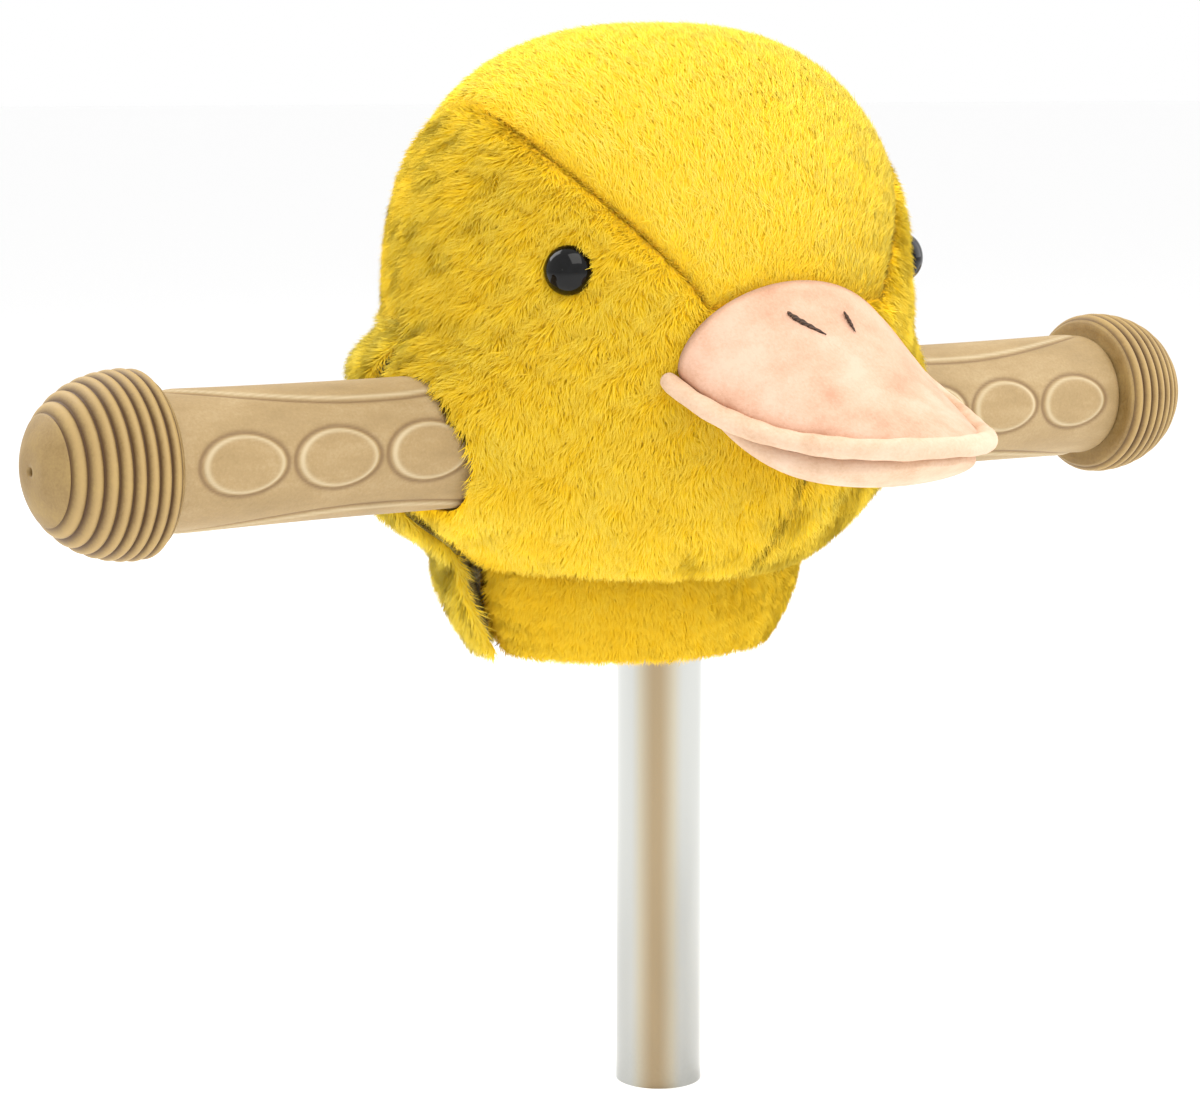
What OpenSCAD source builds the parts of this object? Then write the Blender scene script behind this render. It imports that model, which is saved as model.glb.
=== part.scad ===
// Plush duckling head cover on a child's scooter T-bar.
// Millimetres, +Z up the stem, +X along the bar to the rider's left, bill towards -Y.
// The origin is the centre of the stem's lower end.

/* [Handlebar] */
// Height of the bar's axis above the stem's lower end
bar_z = 172; // [150:1:260]
// Outer diameter of the stem and of the cross tube
tube_d = 22.2; // [19:0.1:26]
// Wall of both tubes
tube_wall = 1.5; // [1:0.1:2.5]
// Length of the cross tube
bar_len = 290; // [270:1:360]
// Leg of the weld fillet
bead = 2.4; // [1.5:0.1:4]
// Butted top of the stem, near the weld: length, extra outside and extra inside
butt = [57, 0.3, 0.7]; // [0.1:0.1:60]

/* [Grips] */
// Length of one grip
grip_len = 110; // [95:1:120]
// Diameter at a grip's two ends
grip_d = 32.8; // [30:0.1:34]
// Diameter at a grip's waist
waist_d = 31.6; // [29:0.1:33.5]
// Length, height and rise of one oval finger bump
oval = [22, 14, 0.45]; // [0.3:0.1:30]
// Distance from a grip's outer end to its first oval
oval_start = 17; // [14:1:25]
// Distance from oval to oval
oval_pitch = 25; // [23:1:32]
// Number of ovals on a grip
ovals = 4; // [1:1:4]

/* [Bar ends] */
// Largest diameter of a ribbed bar end
knob_d = 44.4; // [38:0.1:52]
// Length of a bar end from its rear rim to its tip
knob_len = 29; // [24:0.5:36]
// Number of ribs round the dome
ribs = 8; // [5:1:10]
// Depth of the grooves between the ribs
rib_depth = 1.3; // [0.6:0.1:2]
// Diameter of the vent hole in the tip
vent_d = 2; // [1.5:0.1:3]
// Length of the spigot inside the tube
spigot_len = 22; // [15:1:30]

/* [Head] */
// Half width of the head at its widest
head_a = 70; // [62:0.5:84]
// Depth of the head in front of its middle
head_front = 70; // [62:0.5:80]
// Depth of the head behind its middle
head_back = 63; // [58:0.5:76]
// Height of the widest section above the bar
belly_z = 28; // [26:0.5:34]
// Height of the crown above the widest section
crown_h = 75; // [66:0.5:90]
// Depth of the round underside below the widest section
chin_h = 69; // [66:0.5:78]
// Drop of the chin seam below the widest section
seam_drop = 61; // [58:0.5:64]
// How far the cheeks swell where they lie over the grips
cheek_swell = 9; // [5:0.5:12]
// Thickness of the plush with its pile
plush = 4; // [3:0.5:5]
// Gap between sewn edges that can part
part_gap = 1.2; // [0.8:0.1:2]
// Gap between the plush and the filling behind it
fill_gap = 0.9; // [0.6:0.1:1.4]

/* [Neck and back flap] */
// Height of the neck band
neck_h = 23; // [18:0.5:30]
// Half width of the neck band at its top
neck_a = 47; // [42:0.5:52]
// Half depth of the neck band at its top
neck_b = 40; // [36:0.5:46]
// How much narrower the neck band is at its hem
neck_taper = 8; // [3:0.5:9]
// How far the flap stands out beyond the head's own outline
flap_flare = 9; // [6:0.5:12]
// Thickness of the flap's wadding
flap_pad = 5; // [3:0.5:7]
// Thickness of a lining cloth
lining_t = 1; // [0.8:0.1:1.6]
// Clearance between the lining and what is on the bar
sleeve_gap = 0.7; // [0.5:0.1:1.5]
// Size of a hook or loop patch along the flap's edge, up the neck, and thick
tape = [16, 14, 1.4]; // [1:0.1:30]
// Gap between a patch and the curved cloth that it is sewn to
tape_gap = 0.35; // [0.2:0.05:0.6]

/* [Bill] */
// Half width of the bill between the corners of the mouth
bill_a = 33.6; // [29:0.5:38]
// Distance of the bill's tip in front of the bar's axis
bill_reach = 113; // [104:1:124]
// Height of the mouth's corners above the bar
mouth_z = 17.5; // [14:0.5:20]
// Rise of the bill at its root above the mouth's corners
bill_rise = 21; // [18:0.5:27]
// How far the hand-stuffed bill's crest sits to the right of its middle
bill_lean = 7; // [0:0.5:9]
// Arch of the bill over its width: 1 is round, and more is more peaked
bill_arch = 1.4; // [0.9:0.1:1.8]
// Radius of the rolled rim round the upper bill
rim_r = 2.3; // [1.8:0.1:3]
// Depth of the lower bill at its middle
lower_depth = 8.5; // [6:0.5:11]
// Half width of the lower bill at its root
lower_a = 31; // [26:0.5:34]
// Right nostril: turns from the crest, back and front, and shares of the bill's length, back and front
nostril_right = [15, 6, 0.15, 0.29]; // [0:0.01:30]
// Left nostril, in the same way
nostril_left = [10, 9, 0.17, 0.28]; // [0:0.01:30]
// Gap between the closed lips
lip_gap = 0.5; // [0.4:0.1:1]

/* [Eyes] */
// Diameter of an eye
eye_d = 12; // [10:0.5:15]
// Height of the eyes above the bar
eye_z = 43; // [38:0.5:50]
// Direction of the eyes, from straight ahead
eye_turn = 54; // [46:1:60]
// Depth of an eye's back in the pile
eye_sink = 1; // [0.5:0.1:1.5]
// Diameter of an eye's shank
shank_d = 3.2; // [2.5:0.1:4]
// Diameter of the washer behind an eye
washer_d = 16; // [14:0.5:18]

/* [Hidden] */
$fn = 64;
tube_r = tube_d / 2;
bore_r = tube_r - tube_wall;
butt_z = bar_z - butt[0];
grip_r = grip_d / 2;
grip_out = bar_len / 2 + 0.5;
sleeve_r = max(grip_r, waist_d / 2 + oval[2]) + sleeve_gap;
channel_r = sleeve_r + lining_t;
head_y = 3;
chin_back = 12;
seam_z = belly_z - seam_drop;
hem_z = seam_z - neck_h;
top_z = belly_z + crown_h;
crown_n = 2.5;
chin_n = 3;
face_n = 1.75;
nape_n = 2.2;
cols = 48;
col_turn = 360 / cols;
ply_gap = 0.1;
brow_turn = 24;
brow_z = 34;
ear_turn = 102;
ear_z = 84;
nape_turn = 151;
neck_t = plush + 1;
flap_t = plush + flap_pad + lining_t;
edge_y = 9;
mouth_y = -52;
lip_y = -62;
lip_z = 10;

// ---- shape rules -------------------------------------------------------------

function clamp01(t) = min(1, max(0, t));
function smooth(t) = let (c = clamp01(t)) c * c * (3 - 2 * c);
function root(v, n) = pow(max(v, 0), 1 / n);

// Share of the full width that the head has at height z above the bar.
function girth(z) = z > belly_z
    ? root(1 - pow((z - belly_z) / crown_h, crown_n), crown_n)
    : root(1 - pow((belly_z - z) / chin_h, chin_n), chin_n);

// The head's middle moves back towards the neck below the widest section.
function middle(z) = head_y + chin_back * pow(max(belly_z - z, 0) / (seam_drop + 8), 2);

// Radius of a rounded oval in direction u, from straight ahead, with its own front and back depths.
function oval_r(u, a, front, back) = let (
    d = cos(u) >= 0 ? front : back,
    n = cos(u) >= 0 ? face_n : nape_n
) root(1 / (pow(abs(sin(u)) / a, n) + pow(abs(cos(u)) / d, n)), n);

// How far the cheeks swell where they lie over the grips.
function swell(u, z) = cheek_swell * smooth((abs(u > 180 ? u - 360 : u) - 48) / 32)
    * smooth((30 - abs(z)) / 20);

// A point of the head's outside, or of the layer that lies deep millimetres under it.
function head_at(u, z, deep = 0) = let (
    inner_z = z > belly_z ? belly_z + (z - belly_z) * (crown_h - deep) / crown_h : z,
    r = max(oval_r(u, head_a, head_front, head_back) - deep, 1) * girth(z) + swell(u, z)
) [-sin(u) * r, middle(z) - cos(u) * r, bar_z + inner_z];

// A point of the neck band, at height z above the bar.
function neck_at(u, z, deep = 0) = let (
    low = clamp01((seam_z - z) / neck_h),
    slim = neck_taper * low * low,
    r = root(1 / (pow(abs(sin(u)) / (neck_a - slim - deep), 2)
        + pow(abs(cos(u)) / (neck_b - slim - deep), 2)), 2)
) [-sin(u) * r, middle(seam_z) - cos(u) * r, bar_z + z];

// A point of the flap: the head's and the neck's own surface, standing out below the hinge line.
function flap_at(u, z, deep = 0) = let (
    flare = flap_flare * smooth((belly_z - z) / 13) * (0.55 + 0.45 * abs(sin(u)))
        * (0.78 + 0.22 * smooth((z - hem_z) / 30)),
    low = smooth((z - seam_z + 3) / 16),
    rh = oval_r(u, head_a, head_front, head_back) * girth(max(z, seam_z)),
    n = neck_at(u, min(z, seam_z)),
    rn = norm([n[0], n[1] - middle(seam_z)]),
    y = middle(max(z, seam_z)),
    r = rh * low + rn * (1 - low) + flare - deep
) [-sin(u) * r, y - cos(u) * r, bar_z + z];

// Height of the seam between the crown and the cheek.
function seam_at(u) = let (v = abs(u > 180 ? u - 360 : u))
    v < brow_turn ? brow_z
    : v < ear_turn ? brow_z + (ear_z - brow_z) * pow(sin(90 * (v - brow_turn) / (ear_turn - brow_turn)), 0.8)
    : max(belly_z + part_gap / 2,
        ear_z - (ear_z - belly_z) * pow((v - ear_turn) / (nape_turn - ear_turn), 1.8));

// Where the head's outside is in front, at a given distance from the middle and height.
function face_y(x, z) = middle(z) - head_front * girth(z)
    * root(1 - pow(min(abs(x) / (head_a * girth(z)), 1), face_n), face_n);

// ---- skins -------------------------------------------------------------------

// A closed solid through rings of equal length; the two end rings are zipped shut from index zip.
// Flip turns the faces over where the rings run the other way round.
module skin(rings, zip, flip = false) {
    m = len(rings[0]);
    n = len(rings);
    sides = [for (i = [0 : n - 2], j = [0 : m - 1], t = [0, 1]) let (
        a = i * m + j, b = i * m + (j + 1) % m, c = b + m, d = a + m
    ) t == 0 ? [a, b, c] : [a, c, d]];
    function at(k) = ((k % m) + m) % m;
    caps = [for (k = [0 : floor(m / 2) - 1], t = [0, 1], e = [0, 1]) let (
        p = at(zip - k), q = at(zip + 1 + k), r = at(zip - k - 1), s = at(zip + 2 + k),
        f = t == 0 ? [p, q, s] : [p, s, r],
        base = e * (n - 1) * m
    ) if (f[0] != f[1] && f[1] != f[2] && f[2] != f[0])
        e == 0 ? [base + f[2], base + f[1], base + f[0]] : [base + f[0], base + f[1], base + f[2]]];
    polyhedron([for (r = rings, p = r) p],
        [for (f = concat(sides, caps)) flip ? [f[2], f[1], f[0]] : f]);
}

// A sheet of the given layers: columns of direction u, each from height lo to hi.
function column(u, lo, hi, rows, kind, out, inn) = concat(
    [for (i = [0 : rows]) layer(kind, u, lo + (hi - lo) * i / rows, out)],
    [for (i = [rows : -1 : 0]) layer(kind, u, lo + (hi - lo) * i / rows, inn)]);

function layer(kind, u, z, deep) = kind == "head" ? head_at(u, z, deep)
    : kind == "neck" ? neck_at(u, z, deep)
    : flap_at(u, z, deep);

// A loop round the head at share t of the way from the crown's seam to its top.
function crown_loop(t, deep) = [for (k = [0 : cols - 1]) let (u = col_turn * k,
    s = seam_at(u), a = 90 * t, z = s + (top_z - 1.2 - s) * sin(a)) head_at(u, z, deep)];

function ball_loop(z, deep) = [for (k = [0 : cols - 1]) head_at(col_turn * k, z, deep)];

// The same without the swell of the cheeks: the room that the lifting flap's upper edge leaves free.
function nape_loop(z) = [for (k = [0 : cols - 1]) let (u = col_turn * k,
    r = oval_r(u, head_a, head_front, head_back) * girth(z) - flap_t - fill_gap
) [-sin(u) * r, middle(z) - cos(u) * r, bar_z + z]];

// ---- cuts --------------------------------------------------------------------

// Everything behind the cheeks' rear edge and under the hinge line, as one long prism.
module rear_cut(edge, top) {
    translate([0, 0, bar_z]) rotate([90, 0, 90])
        linear_extrude(height = 3 * head_a, center = true) polygon([
            [edge + 2.5, top], [2 * head_back + 40, top], [2 * head_back + 40, hem_z - 30],
            [edge + 1, hem_z - 30], [edge + 1, seam_z], [edge, -grip_r], [edge, grip_r * 0.8],
        ]);
}

// Everything in front of the flap's free edge.
module flap_front_cut() {
    translate([0, 0, bar_z]) rotate([90, 0, 90])
        linear_extrude(height = 3 * head_a, center = true) polygon([
            [14.5, belly_z + 20], [14.5, belly_z - 5], [sleeve_r + 1, grip_r],
            [sleeve_r + 1, -grip_r], [14, seam_z - 4], [14, hem_z - 30],
            [-2 * head_front, hem_z - 30], [-2 * head_front, belly_z + 20],
        ]);
}

// The way for the bar and the stem: round over the bar, open below and behind.
module channel(r) {
    translate([0, 0, bar_z]) rotate([90, 0, 90])
        linear_extrude(height = 3 * head_a, center = true) union() {
            circle(r = r);
            translate([-r, -2 * chin_h]) square([3 * head_back, 2 * chin_h]);
            translate([0, -2 * chin_h]) square([3 * head_back, 2 * chin_h + r]);
        }
}

module bar_hole(r) {
    translate([0, 0, bar_z]) rotate([0, 90, 0]) cylinder(r = r, h = 3 * head_a, center = true);
}

// Puts its children on the head at the eye, their +Z outwards; side is -1 for right and 1 for left.
module at_eye(side) {
    p = head_at(eye_turn, eye_z);
    along = head_at(eye_turn + 1, eye_z) - p;
    up = head_at(eye_turn, eye_z + 1) - p;
    n = cross(up, along) / norm(cross(up, along));
    translate([-side * p[0], p[1], p[2]])
        rotate([0, acos(n[2]), atan2(n[1], -side * n[0])]) children();
}

module eye_bore(side, d, from, to) {
    at_eye(side) translate([0, 0, from]) cylinder(d = d, h = to - from);
}

// ---- handlebar ---------------------------------------------------------------

module stem_tube() {
    color("silver") difference() {
        union() {
            cylinder(r = tube_r, h = bar_z);
            translate([0, 0, butt_z]) cylinder(r = tube_r + butt[1], h = butt[0]);
        }
        translate([0, 0, -1]) cylinder(r = bore_r, h = butt_z + 1);
        translate([0, 0, butt_z - 1]) cylinder(r = bore_r - butt[2], h = butt[0] + 2);
        translate([0, 0, bar_z]) rotate([0, 90, 0])
            cylinder(r = tube_r, h = 4 * tube_r, center = true);
    }
}

module cross_tube() {
    color("silver") translate([0, 0, bar_z]) rotate([0, 90, 0]) difference() {
        cylinder(r = tube_r, h = bar_len, center = true);
        cylinder(r = bore_r, h = bar_len + 2, center = true);
    }
}

module weld_bead() {
    color("gainsboro") difference() {
        intersection() {
            cylinder(r = tube_r + butt[1] + bead, h = bar_z);
            translate([0, 0, bar_z]) rotate([0, 90, 0])
                cylinder(r = tube_r + bead, h = 4 * tube_r, center = true);
        }
        cylinder(r = tube_r + butt[1], h = bar_z + 1);
        translate([0, 0, bar_z]) rotate([0, 90, 0])
            cylinder(r = tube_r, h = 4 * tube_r + 1, center = true);
        translate([-2 * tube_r, -2 * tube_r, bar_z - tube_r * 0.35]) cube(4 * tube_r);
    }
}

// A grip along +X from its inner end, with its ovals facing -Y.
module grip() {
    waist_r = waist_d / 2;
    difference() {
        union() {
            rotate([0, 90, 0]) rotate_extrude() polygon(concat(
                [[tube_r, 0]],
                [for (i = [0 : 14]) let (t = i / 14)
                    [waist_r + (grip_r - waist_r) * pow(2 * t - 1, 2), grip_len * t]],
                [[tube_r, grip_len]]));
            for (k = [0 : ovals - 1]) if (oval_start + oval_pitch * k < grip_len - oval[0] / 2)
                translate([grip_len - oval_start - oval_pitch * k, 0, 0]) oval_bump(waist_r);
        }
        rotate([0, 90, 0]) translate([0, 0, -1]) cylinder(r = tube_r, h = grip_len + 2);
    }
}

// One raised oval on the grip's front: a round-ended patch of a slightly larger cylinder.
module oval_bump(waist_r) {
    end_r = oval[1] / 2;
    run = oval[0] / 2 - end_r;
    intersection() {
        rotate([90, 0, 0]) linear_extrude(height = grip_d) union() {
            translate([-run, -end_r]) square([2 * run, oval[1]]);
            for (s = [-1, 1]) translate([s * run, 0]) circle(r = end_r);
        }
        rotate([0, 90, 0]) cylinder(r = waist_r + oval[2], h = oval[0] + 2, center = true);
    }
}

module grip_right() {
    color("tan") translate([0, 0, bar_z]) mirror([1, 0, 0])
        translate([grip_out - grip_len, 0, 0]) grip();
}

module grip_left() {
    color("tan") translate([0, 0, bar_z]) translate([grip_out - grip_len, 0, 0]) grip();
}

// Radius of a bar end at share t of its length from the rear rim, before the ribs are cut.
function knob_r(t) = knob_d / 2 * (t < 0.16
    ? 0.94 + 0.06 * sin(90 * t / 0.16)
    : sqrt(max(0, 1 - pow((t - 0.16) / 0.86, 2.2))));

// A ribbed mushroom end along +X, its rear rim at x = 0.
module bar_end() {
    first = 0.04;
    last = 0.86;
    step = (last - first) / ribs;
    difference() {
        rotate([0, 90, 0]) rotate_extrude() polygon(concat(
            [[0, -spigot_len], [bore_r - 0.05, -spigot_len], [bore_r - 0.05, 0]],
            [for (i = [0 : ribs * 6]) let (
                t = first + (last - first) * i / (ribs * 6),
                dip = rib_depth * (1 - sqrt(abs(sin(180 * (t - first) / step))))
            ) [knob_r(t) - dip, knob_len * t]],
            [for (i = [1 : 6]) let (t = last + (1 - last) * i / 6) [knob_r(t), knob_len * t]],
            [[0, knob_len]]));
        rotate([0, 90, 0]) translate([0, 0, -spigot_len - 1])
            cylinder(d = vent_d, h = knob_len + spigot_len + 2);
    }
}

module bar_end_right() {
    color("burlywood") translate([0, 0, bar_z]) mirror([1, 0, 0])
        translate([grip_out, 0, 0]) bar_end();
}

module bar_end_left() {
    color("burlywood") translate([0, 0, bar_z]) translate([grip_out, 0, 0]) bar_end();
}

// ---- head --------------------------------------------------------------------

module crown_panel() {
    steps = 7;
    color("gold") skin(concat(
        [for (i = [steps : -1 : 0]) crown_loop(i / steps, 0)],
        [for (i = [0 : steps]) crown_loop(i / steps, plush)]), 0, true);
}

module cheek(side) {
    turns = 20;
    mirror([side > 0 ? 1 : 0, 0, 0]) difference() {
        skin([for (k = [0 : turns]) let (u = max(0.4, col_turn * k))
            column(u, seam_z, seam_at(u) - ply_gap, 12, "head", 0, plush)], 12, true);
        rear_cut(edge_y, belly_z + part_gap / 2);
        bar_hole(sleeve_r);
        eye_bore(-1, shank_d + 0.2, -2 * plush, 2);
        eye_bore(-1, eye_d + 0.2, -eye_sink - 0.05, 2 * plush);
    }
}

module cheek_right() {
    color("goldenrod") cheek(-1);
}

module cheek_left() {
    color("goldenrod") cheek(1);
}

module neck_band() {
    turns = 26;
    color("orange") difference() {
        skin([for (k = [0 : turns]) let (u = -112 + 224 * k / turns)
            column(u, hem_z, seam_z - ply_gap, 4, "neck", 0, neck_t)], 4, true);
        rear_cut(edge_y, belly_z);
    }
}

module head_filling() {
    heights = [for (i = [0 : 14]) seam_z + (top_z - 2 - seam_z) * sin(90 * i / 14)];
    color("white") difference() {
        skin([for (z = heights) ball_loop(z, plush + fill_gap)], 0);
        channel(channel_r);
        rear_cut(edge_y - 1.5, channel_r + lining_t);
        flap_room();
        for (s = [-1, 1]) {
            eye_bore(s, shank_d + 0.4, -16, 0);
            eye_bore(s, washer_d + 0.6, -plush - 3.5, 0);
        }
    }
}

// Everything behind the cheeks' rear edge that the flap's upper edge passes as it lifts.
module flap_room() {
    difference() {
        rear_cut(edge_y - 1.5, belly_z);
        skin([for (z = [-belly_z : belly_z / 4 : belly_z + 8]) nape_loop(z)], 0);
    }
}

// The cloth that lines the channel, from the neck up over the bar and back to the hinge line.
module channel_lining() {
    lining_a = head_a - plush - 3;
    color("khaki") translate([0, 0, bar_z]) rotate([90, 0, 90])
        linear_extrude(height = 2 * lining_a, center = true) difference() {
            circle(r = channel_r);
            circle(r = sleeve_r);
            translate([0, -2 * channel_r]) square(3 * channel_r);
            translate([-2 * channel_r, -2 * channel_r]) square([4 * channel_r, 2 * channel_r]);
        }
    color("khaki") translate([-lining_a, 0, bar_z + sleeve_r])
        cube([2 * lining_a, edge_y - 2, lining_t]);
    color("khaki") translate([-lining_a * 0.5, -channel_r, bar_z + seam_z + 1])
        cube([lining_a, lining_t, -seam_z - 1]);
}

// ---- bill --------------------------------------------------------------------

// Share of the bill's full width at share s of the way from its root to its tip.
function bill_g(s) = root(1 - pow(min(s, 1), 1.8), 1.8);
function lip_line(s) = mouth_z - 31 * s + 18.5 * s * s;

// A point on the bill's upper skin: q goes over the bill from side to side.
function bill_top(q, s, a = bill_a) = let (
    x0 = -a * cos(q) - bill_lean * sin(q),
    z0 = mouth_z + bill_rise * pow(sin(q), bill_arch),
    y0 = face_y(x0, z0) - 0.1,
    rise = bill_rise * pow(max(1 - s, 0), 0.85) + 1.5 * bill_g(s)
) [x0 * bill_g(s), y0 * (1 - s) - bill_reach * s, bar_z + lip_line(s) + rise * pow(sin(q), bill_arch) + 1.4];

function bill_under(q, s, drop, a = bill_a) = let (
    x0 = -a * cos(q), y0 = face_y(x0, mouth_z) - 0.1
) [x0 * bill_g(s), min(y0, bill_top(q, 0)[1]) * (1 - s) - bill_reach * s, bar_z + lip_line(s) - drop];

module upper_bill() {
    turns = 16;
    steps = 10;
    back = 3;
    color("peachpuff") skin([for (k = [0 : turns]) let (q = 4 + 172 * k / turns) concat(
        [for (i = [0 : steps]) bill_top(q, 0.985 * i / steps)],
        [for (i = [steps : -1 : 0]) bill_under(q, 0.985 * i / steps, 0)],
        [for (i = [1 : back - 1]) let (
            lo = bar_z + lip_line(0), hi = bill_top(q, 0)[2], z = lo + (hi - lo) * i / back,
            x = -bill_a * cos(q) - bill_lean * sin(q) * i / back) [x, face_y(x, z - bar_z) - 0.1, z]])], steps, true);
}

// The centre line of the rolled rim, from one corner of the mouth round to the other.
function rim_at(h) = let (s = root(1 - pow(abs(h), 1.8), 1.8), side = sign(h))
    [side * (bill_a + rim_r) * abs(h), mouth_y * (1 - s) - (bill_reach + rim_r) * s,
        bar_z + lip_line(s) + 0.2];

module bill_rim() {
    rings = 30;
    path = [for (i = [0 : rings]) rim_at(-sin(90 * (1 - 2 * i / rings)))];
    color("navajowhite") difference() {
        skin([for (i = [0 : rings]) let (
            a = path[max(i - 1, 0)], b = path[min(i + 1, rings)],
            t = (b - a) / norm(b - a), side = cross(t, [0, 0, 1]) / norm(cross(t, [0, 0, 1])),
            up = cross(side, t)
        ) [for (k = [0 : 9]) path[i] + rim_r * (cos(36 * k) * side + sin(36 * k) * up)]], 0);
        upper_bill();
        mouth_roof();
        face_band();
    }
}

// A ring-shaped stretch of the head at the height of the mouth, just proud of the cheeks.
module face_band() {
    skin([for (z = [mouth_z - 10 : 4 : mouth_z + 10]) ball_loop(z, -0.2)], 0);
}

module mouth_roof() {
    turns = 14;
    steps = 8;
    color("pink") skin([for (k = [0 : turns]) let (q = 8 + 164 * k / turns) concat(
        [for (i = [0 : steps]) bill_under(q, 0.02 + 0.95 * i / steps, 0.05)],
        [for (i = [steps : -1 : 0]) bill_under(q, 0.02 + 0.95 * i / steps, lining_t)])], steps, true);
}

module nostril_stitches() {
    turns = 5;
    color("saddlebrown") for (side = [-1, 1]) {
        path = [for (i = [0 : turns]) let (
            line = side < 0 ? nostril_right : nostril_left,
            turn = line[0] + (line[1] - line[0]) * i / turns,
            s = line[2] + (line[3] - line[2]) * i / turns
        ) bill_top(90 + side * turn, s) + [0, -0.3, 0.32]];
        skin([for (i = [0 : turns]) [for (k = [0 : 7]) path[i]
            + 0.4 * [cos(45 * k), 0, sin(45 * k)]]], 0, true);
    }
}

// The lower bill: a shallow scoop that hangs from its own root line.
function lower_at(q, s, drop) = let (
    x = lower_a * cos(q) * bill_g(s),
    gap = 1 + 0.4 * drop,
    y0 = min(face_y(x, lip_z) - gap, lip_y - 0.4 * drop)
) [-x, y0 * (1 - s) - (bill_reach - 1.5) * s,
    bar_z + lip_line(s * 0.92 + 0.12) - lining_t - lip_gap - drop];

module lower_bill() {
    turns = 14;
    steps = 9;
    color("peachpuff") skin([for (k = [0 : turns]) let (q = 6 + 168 * k / turns) concat(
        [for (i = [0 : steps]) lower_at(q, 0.97 * i / steps, lining_t)],
        [for (i = [steps : -1 : 0]) let (s = 0.97 * i / steps) lower_at(q, s,
            lining_t + 1.5 + lower_depth * pow(sin(q), 0.6) * sin(180 * pow(0.12 + 0.86 * s, 0.8)))])],
        steps, true);
}

module lower_bill_lining() {
    turns = 14;
    steps = 8;
    color("pink") skin([for (k = [0 : turns]) let (q = 8 + 164 * k / turns) concat(
        [for (i = [0 : steps]) lower_at(q, 0.01 + 0.94 * i / steps, 0)],
        [for (i = [steps : -1 : 0]) lower_at(q, 0.01 + 0.94 * i / steps, lining_t - 0.05)])], steps, true);
}

// ---- eyes --------------------------------------------------------------------

module eye(side) {
    at_eye(side) {
        difference() {
            sphere(d = eye_d);
            translate([0, 0, -eye_d - eye_sink]) cube(2 * eye_d, center = true);
        }
        translate([0, 0, -plush - 9]) cylinder(d = shank_d, h = plush + 9);
    }
}

module eye_washer(side) {
    at_eye(side) translate([0, 0, -plush - 2.6]) difference() {
        cylinder(d = washer_d, h = 1.4);
        translate([0, 0, -1]) cylinder(d = shank_d, h = 4);
    }
}

module eye_right() {
    color("black") eye(-1);
}

module eye_left() {
    color("black") eye(1);
}

module eye_washer_right() {
    color("white") eye_washer(-1);
}

module eye_washer_left() {
    color("white") eye_washer(1);
}

// ---- back flap ---------------------------------------------------------------

// One layer of the flap, from the hinge line down to the hem or to a number of rows above it.
module flap_layer(out, inn, above = 0) {
    turns = 24;
    rows = 14;
    top = belly_z - part_gap / 2;
    difference() {
        skin([for (k = [0 : turns]) let (u = 86 + 188 * k / turns)
            column(u, hem_z + (top - hem_z) * above / rows, top, rows - above, "flap", out, inn)],
            rows - above, true);
        flap_front_cut();
    }
}

module back_flap() {
    color("gold") flap_layer(0, plush);
}

module flap_wadding() {
    color("white") flap_layer(plush + ply_gap, plush + flap_pad, 1);
}

module flap_lining() {
    color("khaki") flap_layer(plush + flap_pad + ply_gap, plush + flap_pad + lining_t, 1);
}

// ---- closure -----------------------------------------------------------------

// A patch that lies on one layer of the neck or the flap, behind the neck band's rear edge.
module patch(side, kind, from, to, deep) {
    turns = 5;
    low = hem_z + 7;
    mirror([side > 0 ? 1 : 0, 0, 0])
        skin([for (k = [0 : turns]) column(from + (to - from) * k / turns,
            low, low + tape[1], 4, kind, deep + tape_gap, deep + tape_gap + tape[2])], 4, true);
}

module loop_patch_right() {
    color("gold") patch(-1, "neck", 78, 78 + 2.1 * tape[0], neck_t);
}

module loop_patch_left() {
    color("gold") patch(1, "neck", 78, 78 + 2.1 * tape[0], neck_t);
}

module hook_patch_right() {
    color("wheat") patch(-1, "flap", 95, 95 + 1.1 * tape[0], flap_t);
}

module hook_patch_left() {
    color("wheat") patch(1, "flap", 95, 95 + 1.1 * tape[0], flap_t);
}

stem_tube();
cross_tube();
weld_bead();
grip_right();
grip_left();
bar_end_right();
bar_end_left();
crown_panel();
cheek_right();
cheek_left();
neck_band();
head_filling();
channel_lining();
upper_bill();
bill_rim();
mouth_roof();
nostril_stitches();
lower_bill();
lower_bill_lining();
eye_right();
eye_left();
eye_washer_right();
eye_washer_left();
back_flap();
flap_wadding();
flap_lining();
loop_patch_right();
loop_patch_left();
hook_patch_right();
hook_patch_left();
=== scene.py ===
"""Looks of a plush duckling head cover on a child's scooter T-bar, for Blender 4.5, in metres."""

import logging
import math
from collections.abc import Callable
from dataclasses import dataclass
from enum import Enum

import bmesh
import bpy
import numpy as np
from mathutils import Matrix, Vector


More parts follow.
